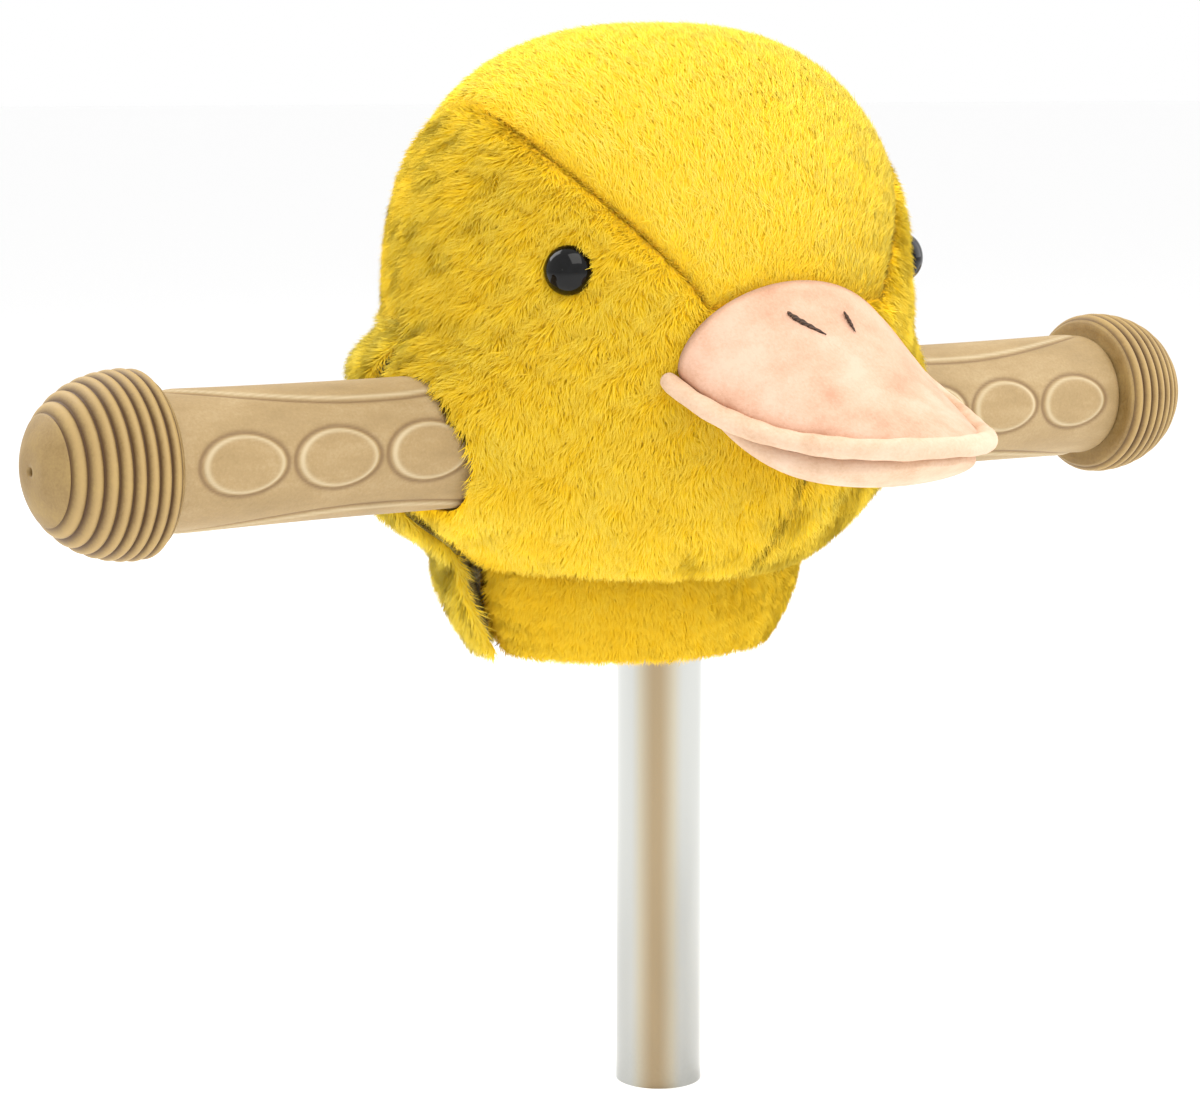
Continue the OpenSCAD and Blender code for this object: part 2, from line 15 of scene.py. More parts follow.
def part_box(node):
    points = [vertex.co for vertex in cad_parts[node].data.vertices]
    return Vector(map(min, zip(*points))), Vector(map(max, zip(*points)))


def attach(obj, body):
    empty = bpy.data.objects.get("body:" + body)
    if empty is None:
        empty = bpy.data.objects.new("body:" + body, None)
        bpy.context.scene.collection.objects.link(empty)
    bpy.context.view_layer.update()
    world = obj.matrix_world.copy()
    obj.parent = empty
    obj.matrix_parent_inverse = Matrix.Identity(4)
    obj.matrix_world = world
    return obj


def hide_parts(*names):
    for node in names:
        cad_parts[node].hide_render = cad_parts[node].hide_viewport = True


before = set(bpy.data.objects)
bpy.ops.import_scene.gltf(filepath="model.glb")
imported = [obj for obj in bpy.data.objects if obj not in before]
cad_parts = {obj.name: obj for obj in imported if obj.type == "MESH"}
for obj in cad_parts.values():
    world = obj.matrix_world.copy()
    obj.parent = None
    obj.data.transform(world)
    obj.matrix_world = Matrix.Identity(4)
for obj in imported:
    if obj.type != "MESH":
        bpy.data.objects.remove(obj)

LOG = logging.getLogger("duckling_head_cover")
MM = 0.001
RIGHT, LEFT = -1.0, 1.0
STUFFING_STEPS = 20
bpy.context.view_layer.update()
Surface = Callable[..., np.ndarray]


# ---- small tools ---------------------------------------------------------------


def linear(hex_colour: str) -> tuple[float, float, float, float]:
    """Turns an sRGB colour into Blender's linear one.

    Args:
        hex_colour: the colour as "#RRGGBB".

    Returns:
        Linear red, green and blue, and an alpha of 1.
    """
    parts = [int(hex_colour[i : i + 2], 16) / 255 for i in (1, 3, 5)]
    return (*(c / 12.92 if c <= 0.04045 else ((c + 0.055) / 1.055) ** 2.4 for c in parts), 1.0)


def smooth(t: np.ndarray | float) -> np.ndarray:
    """Eases from 0 to 1 as t goes from 0 to 1."""
    c = np.clip(t, 0, 1)
    return c * c * (3 - 2 * c)


def root(value: np.ndarray | float, n: float) -> np.ndarray:
    """The n-th root of what is positive in value."""
    return np.maximum(value, 0) ** (1 / n)


def unit(vectors: np.ndarray) -> np.ndarray:
    """The vectors at length 1."""
    return vectors / np.maximum(np.linalg.norm(vectors, axis=-1, keepdims=True), 1e-12)


def ripple(points: np.ndarray, size: float, seed: int, waves: int = 9) -> np.ndarray:
    """A smooth random field, made of waves in fixed random directions.

    Args:
        points: places, one row each.
        size: distance from one swelling to the next, in the points' own unit.
        seed: picks the waves.
        waves: how many are added.

    Returns:
        One value from about -1 to 1 for each point.
    """
    rng = np.random.default_rng(seed)
    total = np.zeros(len(points))
    for _ in range(waves):
        way = unit(rng.normal(size=3)) * 2 * math.pi / (size * rng.uniform(0.75, 1.4))
        total += np.sin(points @ way + rng.uniform(0, 2 * math.pi))
    return total / math.sqrt(waves) / 1.2


def nearest(points: np.ndarray, line: np.ndarray) -> np.ndarray:
    """Distance of each point from the nearest point of a line.

    Args:
        points: places, in any grid.
        line: the line's points, one row each.

    Returns:
        The distances, in the same grid.
    """
    flat = points.reshape(-1, 3)
    near = np.empty(len(flat))
    for start in range(0, len(flat), 20000):
        part = flat[start : start + 20000]
        near[start : start + 20000] = np.sqrt(((part[:, None] - line[None]) ** 2).sum(2).min(1))
    return near.reshape(points.shape[:-1])


def object_of(name: str, mesh: bpy.types.Mesh, finish: bpy.types.Material) -> bpy.types.Object:
    """Puts a mesh in the scene as an object with one material.

    Args:
        name: the object's name.
        mesh: its mesh.
        finish: its material.

    Returns:
        The object.
    """
    mesh.materials.clear()
    mesh.materials.append(finish)
    piece = bpy.data.objects.new(name, mesh)
    bpy.context.scene.collection.objects.link(piece)
    return piece


def solid(name: str, points: np.ndarray, faces: list, finish: bpy.types.Material) -> bpy.types.Object:
    """Makes a smooth closed piece.

    Args:
        name: the piece's name.
        points: its points in millimetres, one row each.
        faces: its faces, as lists of point numbers.
        finish: its material.

    Returns:
        The new object, with its faces turned outwards.
    """
    mesh = bpy.data.meshes.new(name)
    mesh.from_pydata(np.asarray(points) * MM, [], faces)
    work = bmesh.new()
    work.from_mesh(mesh)
    bmesh.ops.remove_doubles(work, verts=work.verts, dist=0.001 * MM)
    bmesh.ops.dissolve_degenerate(work, edges=work.edges, dist=0.001 * MM)
    bmesh.ops.recalc_face_normals(work, faces=work.faces)
    work.to_mesh(mesh)
    work.free()
    mesh.shade_smooth()
    return object_of(name, mesh, finish)


def lattice(rows: int, cols: int, wrap: bool, first: int = 0) -> list:
    """Four-sided faces over a grid of points.

    Args:
        rows: number of rows of points.
        cols: number of points in a row.
        wrap: whether each row closes on itself.
        first: number of the grid's first point.

    Returns:
        The faces.
    """
    over = range(cols if wrap else cols - 1)
    return [
        [first + i * cols + j, first + i * cols + (j + 1) % cols,
         first + (i + 1) * cols + (j + 1) % cols, first + (i + 1) * cols + j]
        for i in range(rows - 1) for j in over
    ]


def shell(name: str, outer: np.ndarray, inner: np.ndarray, wrap: bool, finish: bpy.types.Material,
          capped: bool = False) -> bpy.types.Object:
    """Makes a panel of cloth from its two sides.

    Args:
        name: the piece's name.
        outer: grid of points of the outer side, rows by columns by 3, in millimetres.
        inner: the same of the inner side.
        wrap: whether the rows close on themselves.
        finish: its material.
        capped: whether the last row is closed by a face on either side, and not by a wall.

    Returns:
        The closed panel.
    """
    rows, cols = outer.shape[:2]
    size = rows * cols
    faces = lattice(rows, cols, wrap) + lattice(rows, cols, wrap, size)
    over = range(cols if wrap else cols - 1)
    for row in [0] if capped else [0, rows - 1]:
        a = row * cols
        faces += [[a + j, a + (j + 1) % cols, size + a + (j + 1) % cols, size + a + j] for j in over]
    if capped:
        a = (rows - 1) * cols
        faces += [[a + j for j in range(cols)], [size + a + j for j in range(cols)]]
    if not wrap:
        for j in (0, cols - 1):
            faces += [[i * cols + j, (i + 1) * cols + j, size + (i + 1) * cols + j, size + i * cols + j]
                      for i in range(rows - 1)]
    return solid(name, np.concatenate([outer.reshape(-1, 3), inner.reshape(-1, 3)]), faces, finish)


def tube(name: str, line: np.ndarray, radius: np.ndarray, sides: int, finish: bpy.types.Material,
         bumps: np.ndarray | None = None) -> bpy.types.Object:
    """Makes a round roll along a line, with closed ends.

    Args:
        name: the piece's name.
        line: points of its middle, in millimetres.
        radius: its radius at each of them.
        sides: points round it.
        finish: its material.
        bumps: how much each ring's points stand out, as a share of the radius, points by sides.

    Returns:
        The roll.
    """
    along = unit(np.gradient(line, axis=0))
    side = unit(np.cross(along, [0.0, 0.0, 1.0]))
    up = np.cross(side, along)
    turn = np.arange(sides) / sides * 2 * math.pi
    reach = radius[:, None] * (1 if bumps is None else 1 + bumps)
    rings = line[:, None] + reach[..., None] * (
        np.cos(turn)[None, :, None] * side[:, None] + np.sin(turn)[None, :, None] * up[:, None])
    count = len(line)
    faces = lattice(count, sides, True)
    faces += [list(range(sides)), [(count - 1) * sides + k for k in range(sides)]]
    return solid(name, rings.reshape(-1, 3), faces, finish)


def lathe(name: str, profile: list, sides: int, finish: bpy.types.Material) -> bpy.types.Object:
    """Turns a closed outline round +X.

    Args:
        name: the piece's name.
        profile: (radius, place along X) pairs in millimetres, closed, and clear of the axis.
        sides: points round it.
        finish: its material.

    Returns:
        The turned piece.
    """
    turn = np.arange(sides) / sides * 2 * math.pi
    r, x = np.array(profile).T
    ring = np.stack([np.zeros(sides), np.cos(turn), np.sin(turn)], 1)
    points = r[:, None, None] * ring + x[:, None, None] * np.array([1.0, 0, 0])
    faces = lattice(len(profile), sides, True)
    last = (len(profile) - 1) * sides
    faces += [[last + j, last + (j + 1) % sides, (j + 1) % sides, j] for j in range(sides)]
    return solid(name, points.reshape(-1, 3), faces, finish)


def corners_of(mesh: bpy.types.Mesh) -> np.ndarray:
    """The points of a mesh in metres, one row each, as Blender keeps them.

    Args:
        mesh: the mesh.

    Returns:
        The points, in single precision.
    """
    co = np.empty(len(mesh.vertices) * 3, np.float32)
    mesh.vertices.foreach_get("co", co)
    return co.reshape(-1, 3)


def points_of(piece: bpy.types.Object) -> np.ndarray:
    """The points of a piece in millimetres, one row each."""
    return corners_of(piece.data).astype(float) / MM


def marked(piece: bpy.types.Object, relief: np.ndarray) -> None:
    """Stores on each point of a piece how proud it stands: 0 in a groove, 0.5 on the open, 1 on an edge."""
    layer = piece.data.attributes.new("relief", "FLOAT", "POINT")
    layer.data.foreach_set("value", np.clip(relief, 0, 1).astype(np.float32))


def settled(piece: bpy.types.Object) -> bpy.types.Object:
    """Applies the modifiers of a piece to its mesh.

    Args:
        piece: the piece.

    Returns:
        The same piece.
    """
    done = piece.evaluated_get(bpy.context.evaluated_depsgraph_get())
    mesh = bpy.data.meshes.new_from_object(done)
    piece.modifiers.clear()
    piece.data = mesh
    return piece


def without(piece: bpy.types.Object, cutter: bpy.types.Object) -> bpy.types.Object:
    """Cuts one solid out of another and removes the cutter.

    Args:
        piece: the solid that is cut.
        cutter: the solid that is taken away.

    Returns:
        The cut piece.
    """
    cut = piece.modifiers.new("cut", "BOOLEAN")
    cut.operation, cut.solver, cut.object = "DIFFERENCE", "EXACT", cutter
    settled(piece)
    bpy.data.objects.remove(cutter)
    piece.data.shade_smooth()
    return piece


def remade(name: str, node: str, voxel: float, rounds: int, finish: bpy.types.Material) -> bpy.types.Object:
    """Makes a soft piece in the space of a plain CAD solid: an even mesh with its edges rounded.

    Args:
        name: the new piece's name.
        node: the CAD node that it stands for.
        voxel: spacing of the new mesh, in millimetres.
        rounds: how often it is smoothed.
        finish: its material.

    Returns:
        The new piece.
    """
    piece = object_of(name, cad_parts[node].data.copy(), finish)
    remesh = piece.modifiers.new("even", "REMESH")
    remesh.mode, remesh.voxel_size = "VOXEL", voxel * MM
    ease = piece.modifiers.new("ease", "SMOOTH")
    ease.factor, ease.iterations = 0.5, rounds
    settled(piece)
    piece.data.materials.clear()
    piece.data.materials.append(finish)
    piece.data.shade_smooth()
    return piece


def puffed(piece: bpy.types.Object, held: np.ndarray, pressure: float, most: float) -> bpy.types.Object:
    """Blows a stuffed piece up a little as cloth, so that it bulges between its held seams.

    Args:
        piece: the closed piece.
        held: whether each point is sewn down.
        pressure: the stuffing's push.
        most: how far a point may move, in millimetres.

    Returns:
        The same piece, with the simulated shape in its mesh.
    """
    rest = corners_of(piece.data)
    seam = piece.vertex_groups.new(name="seam")
    seam.add([int(i) for i in np.flatnonzero(held)], 1.0, "REPLACE")
    cloth = piece.modifiers.new("stuffing", "CLOTH")
    cloth.settings.use_pressure = True
    cloth.settings.uniform_pressure_force = pressure
    cloth.settings.effector_weights.gravity = 0
    cloth.settings.vertex_group_mass = "seam"
    cloth.settings.quality = 5
    scene = bpy.context.scene
    for step in range(1, STUFFING_STEPS + 1):
        scene.frame_set(step)
    settled(piece)
    shift = corners_of(piece.data) - rest
    size = np.linalg.norm(shift, axis=1, keepdims=True)
    shift *= np.minimum(1, most * MM / np.maximum(size, 1e-9))
    piece.data.vertices.foreach_set("co", (rest + shift).ravel())
    piece.vertex_groups.clear()
    scene.frame_set(1)
    return piece


# ---- finishes ------------------------------------------------------------------


def add(tree: bpy.types.NodeTree, kind: str, settings: dict | None = None,
        links: dict | None = None) -> bpy.types.Node:
    """Adds one node to a material.

    Args:
        tree: the material's nodes.
        kind: the node's type, without its ShaderNode prefix.
        settings: values for the node's sockets, by name, or else for its own properties; "stops" are
            a colour ramp's (place, sRGB hex) pairs.
        links: sockets of earlier nodes to join to this one's inputs, by name or number.

    Returns:
        The node.
    """
    node = tree.nodes.new("ShaderNode" + kind)
    for name, value in (settings or {}).items():
        if name == "stops":
            points = node.color_ramp.elements
            while len(points) < len(value):
                points.new(0.5)
            for point, (place, colour) in zip(points, value, strict=True):
                point.position, point.color = place, linear(colour)
        elif isinstance(name, int) or name in node.inputs:
            node.inputs[name].default_value = value
        else:
            setattr(node, name, value)
    for name, socket in (links or {}).items():
        tree.links.new(socket, node.inputs[name])
    return node


def blank(name: str) -> tuple[bpy.types.Material, bpy.types.NodeTree, bpy.types.Node]:
    """Makes a material with only its shader and output, and returns it with its nodes and shader.

    Args:
        name: the material's name.

    Returns:
        The material, its nodes and its shader.
    """
    material = bpy.data.materials.new(name)
    material.use_nodes = True
    tree = material.node_tree
    tree.nodes.clear()
    shader = add(tree, "BsdfPrincipled")
    add(tree, "OutputMaterial", links={"Surface": shader.outputs["BSDF"]})
    return material, tree, shader


def per_metre(size: float) -> float:
    """The texture scale at which a pattern repeats every size millimetres."""
    return 1 / (size * MM)


@dataclass(frozen=True)
class PlushPile:
    """Polyester plush, cut pile: soft, matt, with a bright bloom where it is seen side on.

    The colour deepens towards a fibre's root, a painted shade of the pile's depth, so the clumps and partings show
    as darker gold; the paler tips are a painted bloom of light on the pile.
    """

    name: str
    root: str
    body: str
    tip: str
    dull: str
    # painted shade: the amber painted along the bill's root and the crown's seam
    painted_shade: str = "#D08A1C"
    bloom: float = 0.1

    def make(self) -> bpy.types.Material:
        """Builds the material; the fibre map holds the clump's tone across and the fibre's length up.

        Returns:
            The material.
        """
        material, tree, shader = blank(self.name)
        at = add(tree, "UVMap", {"uv_map": "OFBake"})
        part = add(tree, "SeparateXYZ", links={"Vector": at.outputs["UV"]})
        # root to tip: painted shade deep in the pile, painted bloom at the tips
        bright = add(tree, "ValToRGB", {"stops": [(0.05, self.root), (0.4, self.body), (0.95, self.tip)]},
                     {"Fac": part.outputs["Y"]})
        dim = add(tree, "ValToRGB", {"stops": [(0.05, self.root), (0.95, self.dull)]},
                  {"Fac": part.outputs["Y"]})
        mixed = add(tree, "Mix", {"data_type": "RGBA"},
                    {0: part.outputs["X"], 6: dim.outputs["Color"], 7: bright.outputs["Color"]})
        # tones under 0.2 mix in the painted shade colour
        deep = add(tree, "MapRange", {"From Max": 0.2}, {"Value": part.outputs["X"]})
        shaded = add(tree, "Mix", {"data_type": "RGBA", 6: linear(self.painted_shade)},
                     {0: deep.outputs["Result"], 7: mixed.outputs[2]})
        tree.links.new(shaded.outputs[2], shader.inputs["Base Color"])
        shader.inputs["Roughness"].default_value = 0.78
        shader.inputs["Sheen Weight"].default_value = self.bloom
        shader.inputs["Sheen Roughness"].default_value = 0.45
        shader.inputs["Sheen Tint"].default_value = linear(self.tip)
        shader.inputs["Specular IOR Level"].default_value = 0.0
        return material


@dataclass(frozen=True)
class KnitBacking:
    """Weft-knitted polyester backing under the pile: rows of small loops, dull and a little darker."""

    name: str
    high: str
    low: str
    stitch: float = 1.1  # a real loop is 0.6 mm; coarser here, so that it shows

    def make(self) -> bpy.types.Material:
        """Builds the material.

        Returns:
            The material.
        """
        material, tree, shader = blank(self.name)
        at = add(tree, "TexCoord")
        loops = add(tree, "TexVoronoi", {"Scale": per_metre(self.stitch)}, {"Vector": at.outputs["Object"]})
        patch = add(tree, "TexNoise", {"Scale": per_metre(14), "Detail": 3.0},
                    {"Vector": at.outputs["Object"]})
        both = add(tree, "Math", {"operation": "MULTIPLY_ADD", 1: 0.35},
                   {0: loops.outputs["Distance"], 2: patch.outputs["Fac"]})
        colour = add(tree, "ValToRGB", {"stops": [(0.35, self.high), (0.85, self.low)]},
                     {"Fac": both.outputs[0]})
        tree.links.new(colour.outputs["Color"], shader.inputs["Base Color"])
        shader.inputs["Roughness"].default_value = 0.9
        shader.inputs["Specular IOR Level"].default_value = 0.0
        bump = add(tree, "Bump", {"Strength": 1.0, "Distance": 0.3 * MM},
                   {"Height": loops.outputs["Distance"]})
        tree.links.new(bump.outputs["Normal"], shader.inputs["Normal"])
        return material


@dataclass(frozen=True)
class BrushedVelour:
    """Brushed polyester velour: a very short nap that lies in patches, with a soft pale bloom."""

    name: str
    light: str
    mid: str
    deep: str
    nap: float = 0.55  # a real fibre is 0.05 mm; drawn as tufts, so that it shows

    def make(self) -> bpy.types.Material:
        """Builds the material.

        Returns:
            The material.
        """
        material, tree, shader = blank(self.name)
        at = add(tree, "TexCoord")
        brushed = add(tree, "Mapping", {"Scale": (1.0, 0.45, 0.8)}, {"Vector": at.outputs["Object"]})
        tufts = add(tree, "TexNoise", {"Scale": per_metre(self.nap), "Detail": 4.0, "Roughness": 0.7},
                    {"Vector": brushed.outputs["Vector"]})
        patches = add(tree, "TexNoise", {"Scale": per_metre(11), "Detail": 3.0, "Roughness": 0.55},
                      {"Vector": at.outputs["Object"]})
        both = add(tree, "Math", {"operation": "MULTIPLY_ADD", 1: 0.5},
                   {0: tufts.outputs["Fac"], 2: patches.outputs["Fac"]})
        colour = add(tree, "ValToRGB", {"stops": [(0.5, self.deep), (0.72, self.mid), (0.95, self.light)]},
                     {"Fac": both.outputs[0]})
        tree.links.new(colour.outputs["Color"], shader.inputs["Base Color"])
        shader.inputs["Roughness"].default_value = 0.85
        shader.inputs["Sheen Weight"].default_value = 0.25
        shader.inputs["Sheen Roughness"].default_value = 0.5
        shader.inputs["Sheen Tint"].default_value = linear(self.light)
        shader.inputs["Specular IOR Level"].default_value = 0.2
        bump = add(tree, "Bump", {"Strength": 0.8, "Distance": 0.35 * MM}, {"Height": both.outputs[0]})
        tree.links.new(bump.outputs["Normal"], shader.inputs["Normal"])
        return material


@dataclass(frozen=True)
class WovenLining:
    """Plain-woven polyester lining: crossed threads, with a faint gloss along them."""

    name: str
    light: str
    dark: str
    thread: float = 0.8  # a real thread is 0.25 mm; coarser here, so that it shows

    def make(self) -> bpy.types.Material:
        """Builds the material.

        Returns:
            The material.
        """
        material, tree, shader = blank(self.name)
        at = add(tree, "TexCoord")
        scale = {"Scale": per_metre(self.thread) / 2, "Distortion": 0.6, "Detail": 1.0}
        warp = add(tree, "TexWave", {**scale, "bands_direction": "X"}, {"Vector": at.outputs["Object"]})
        weft = add(tree, "TexWave", {**scale, "bands_direction": "Z"}, {"Vector": at.outputs["Object"]})
        cross = add(tree, "Math", {"operation": "MULTIPLY"},
                    {0: warp.outputs["Fac"], 1: weft.outputs["Fac"]})
        soil = add(tree, "TexNoise", {"Scale": per_metre(9), "Detail": 4.0},
                   {"Vector": at.outputs["Object"]})
        both = add(tree, "Math", {"operation": "MULTIPLY_ADD", 1: 0.4},
                   {0: cross.outputs[0], 2: soil.outputs["Fac"]})
        colour = add(tree, "ValToRGB", {"stops": [(0.3, self.dark), (0.8, self.light)]},
                     {"Fac": both.outputs[0]})
        tree.links.new(colour.outputs["Color"], shader.inputs["Base Color"])
        shader.inputs["Roughness"].default_value = 0.7
        shader.inputs["Sheen Weight"].default_value = 0.15
        bump = add(tree, "Bump", {"Strength": 1.0, "Distance": 0.2 * MM}, {"Height": cross.outputs[0]})
        tree.links.new(bump.outputs["Normal"], shader.inputs["Normal"])
        return material


@dataclass(frozen=True)
class MouldedRubber:
    """Injection-moulded thermoplastic rubber: matt, faintly grained, with painted shade in its grooves and a
    painted highlight where it stands proud.
    """

    name: str
    light: str
    mid: str
    dark: str
    # colours of the painted shade in the grooves and the painted highlight on the edges
    groove: str
    painted_edge_highlight: str
    grain: float = 0.7  # real spark-erosion grain is 0.1 mm; coarser here, so that it shows

    def make(self) -> bpy.types.Material:
        """Builds the material.

        Returns:
            The material.
        """
        material, tree, shader = blank(self.name)
        at = add(tree, "TexCoord")
        grain = add(tree, "TexNoise", {"Scale": per_metre(self.grain), "Detail": 3.0, "Roughness": 0.6},
                    {"Vector": at.outputs["Object"]})
        drawn = add(tree, "Mapping", {"Scale": (0.4, 1.0, 1.0)}, {"Vector": at.outputs["Object"]})
        wiped = add(tree, "TexNoise", {"Scale": per_metre(8), "Detail": 5.0, "Roughness": 0.6},
                    {"Vector": drawn.outputs["Vector"]})
        both = add(tree, "Math", {"operation": "MULTIPLY_ADD", 1: 0.5},
                   {0: grain.outputs["Fac"], 2: wiped.outputs["Fac"]})
        colour = add(tree, "ValToRGB", {"stops": [(0.5, self.dark), (0.75, self.mid), (1.0, self.light)]},
                     {"Fac": both.outputs[0]})
        # the relief paints shade into the grooves and a highlight onto the proud edges
        relief = add(tree, "Attribute", {"attribute_name": "relief"})
        low = add(tree, "MapRange", {"From Max": 0.5}, {"Value": relief.outputs["Fac"]})
        high = add(tree, "MapRange", {"From Min": 0.5}, {"Value": relief.outputs["Fac"]})
        painted_groove_shade = add(tree, "Mix", {"data_type": "RGBA", 6: linear(self.groove)},
                     {0: low.outputs["Result"], 7: colour.outputs["Color"]})
        painted_edge_highlight = add(tree, "Mix", {"data_type": "RGBA", 7: linear(self.painted_edge_highlight)},
                   {0: high.outputs["Result"], 6: painted_groove_shade.outputs[2]})
        tree.links.new(painted_edge_highlight.outputs[2], shader.inputs["Base Color"])
        rough = add(tree, "MapRange", {"From Min": 0.4, "From Max": 0.9, "To Min": 0.5, "To Max": 0.68},
                    {"Value": both.outputs[0]})
        tree.links.new(rough.outputs["Result"], shader.inputs["Roughness"])
        shader.inputs["IOR"].default_value = 1.5
        bump = add(tree, "Bump", {"Strength": 0.7, "Distance": 0.12 * MM}, {"Height": grain.outputs["Fac"]})
        tree.links.new(bump.outputs["Normal"], shader.inputs["Normal"])
        return material


@dataclass(frozen=True)
class PolishedMetal:
    """Drawn steel tube, ground and chromium plated: mirror-like, with fine lines along the tube, and broad bands
    of painted reflection in its colour, from bright to a warm streak.
    """

    name: str
    # tones of the painted reflection streak, from warm through colour to bright
    reflection_warm: str
    colour: str
    bright: str
    roughness: float
    reflection_streak: float = 18.0
    reflection_streak_turn: float = 34.8
    line: float = 1.6  # spacing of the drawing lines round the tube; finer on a real tube

    def make(self) -> bpy.types.Material:
        """Builds the material.

        Returns:
            The material.
        """
        material, tree, shader = blank(self.name)
        at = add(tree, "TexCoord")
        drawn = add(tree, "Mapping", {"Scale": (1.0, 1.0, 0.02)}, {"Vector": at.outputs["Object"]})
        lines = add(tree, "TexNoise", {"Scale": per_metre(self.line), "Detail": 4.0},
                    {"Vector": drawn.outputs["Vector"]})
        haze = add(tree, "TexNoise", {"Scale": per_metre(20), "Detail": 4.0},
                   {"Vector": at.outputs["Object"]})
        both = add(tree, "Math", {"operation": "MULTIPLY"},
                   {0: lines.outputs["Fac"], 1: haze.outputs["Fac"]})
        rough = add(tree, "MapRange", {"From Min": 0.1, "From Max": 0.45, "To Min": self.roughness * 0.6,
                                       "To Max": self.roughness * 1.6}, {"Value": both.outputs[0]})
        tree.links.new(rough.outputs["Result"], shader.inputs["Roughness"])
        # painted reflection: broad bands turned by the camera's azimuth
        turned = add(tree, "Mapping", {"Rotation": (0.0, 0.0, math.radians(self.reflection_streak_turn))},
                     {"Vector": drawn.outputs["Vector"]})
        reflection_bands = add(tree, "TexWave", {"Scale": 2 * math.pi / 20 * per_metre(self.reflection_streak), "Distortion": 1.2,
                                     "Detail": 2.0, "Phase Offset": math.pi, "bands_direction": "X"},
                   {"Vector": turned.outputs["Vector"]})
        tone = add(tree, "ValToRGB", {"stops": [(0.15, self.bright), (0.5, self.colour), (0.98, self.reflection_warm)]},
                   {"Fac": reflection_bands.outputs["Fac"]})
        tree.links.new(tone.outputs["Color"], shader.inputs["Base Color"])
        shader.inputs["Metallic"].default_value = 1.0
        bump = add(tree, "Bump", {"Strength": 0.4, "Distance": 0.01 * MM}, {"Height": lines.outputs["Fac"]})
        tree.links.new(bump.outputs["Normal"], shader.inputs["Normal"])
        return material


@dataclass(frozen=True)
class GlossPlastic:
    """Turned or moulded acrylic: a hard clear gloss with the faintest ripple and a little dust."""

    name: str
    colour: str
    dust: str
    roughness: float

    def make(self) -> bpy.types.Material:
        """Builds the material.

        Returns:
            The material.
        """
        material, tree, shader = blank(self.name)
        at = add(tree, "TexCoord")
        specks = add(tree, "TexNoise", {"Scale": per_metre(2.5), "Detail": 6.0, "Roughness": 0.7},
                     {"Vector": at.outputs["Object"]})
        colour = add(tree, "ValToRGB", {"stops": [(0.45, self.colour), (0.85, self.dust)]},
                     {"Fac": specks.outputs["Fac"]})
        tree.links.new(colour.outputs["Color"], shader.inputs["Base Color"])
        rough = add(tree, "MapRange", {"From Min": 0.3, "From Max": 0.8, "To Min": self.roughness,
                                       "To Max": self.roughness + 0.08}, {"Value": specks.outputs["Fac"]})
        tree.links.new(rough.outputs["Result"], shader.inputs["Roughness"])
        shader.inputs["IOR"].default_value = 1.49
        shader.inputs["Specular IOR Level"].default_value = 0.25
        bump = add(tree, "Bump", {"Strength": 0.2, "Distance": 0.01 * MM}, {"Height": specks.outputs["Fac"]})
        tree.links.new(bump.outputs["Normal"], shader.inputs["Normal"])
        return material


@dataclass(frozen=True)
class ClosureTape:
    """Nylon hook or loop tape: dense rows of little hooks or a fuzz of loops."""

    name: str
    high: str
    low: str
    pitch: float

    def make(self) -> bpy.types.Material:
        """Builds the material.

        Returns:
            The material.
        """
        material, tree, shader = blank(self.name)
        at = add(tree, "TexCoord")
        tufts = add(tree, "TexVoronoi", {"Scale": per_metre(self.pitch), "Randomness": 0.4},
                    {"Vector": at.outputs["Object"]})
        colour = add(tree, "ValToRGB", {"stops": [(0.1, self.high), (0.7, self.low)]},
                     {"Fac": tufts.outputs["Distance"]})
        tree.links.new(colour.outputs["Color"], shader.inputs["Base Color"])
        shader.inputs["Roughness"].default_value = 0.6
        shader.inputs["Sheen Weight"].default_value = 0.2
        bump = add(tree, "Bump", {"Strength": 1.0, "Distance": 0.5 * MM},
                   {"Height": tufts.outputs["Distance"]})
        tree.links.new(bump.outputs["Normal"], shader.inputs["Normal"])
        return material


@dataclass(frozen=True)
class TwistedThread:
    """Embroidery thread: two plies twisted, with a soft silk gloss on each."""

    name: str
    light: str
    dark: str
    ply: float = 1.2  # a real ply is 0.4 mm; coarser here, so that it shows

    def make(self) -> bpy.types.Material:
        """Builds the material.

        Returns:
            The material.
        """
        material, tree, shader = blank(self.name)
        at = add(tree, "TexCoord")
        plies = add(tree, "TexWave", {"Scale": per_metre(self.ply), "bands_direction": "DIAGONAL",
                                      "Distortion": 1.0}, {"Vector": at.outputs["Object"]})
        colour = add(tree, "ValToRGB", {"stops": [(0.2, self.dark), (0.9, self.light)]},
                     {"Fac": plies.outputs["Fac"]})
        tree.links.new(colour.outputs["Color"], shader.inputs["Base Color"])
        shader.inputs["Roughness"].default_value = 0.55
        bump = add(tree, "Bump", {"Strength": 1.0, "Distance": 0.1 * MM}, {"Height": plies.outputs["Fac"]})
        tree.links.new(bump.outputs["Normal"], shader.inputs["Normal"])
        return material


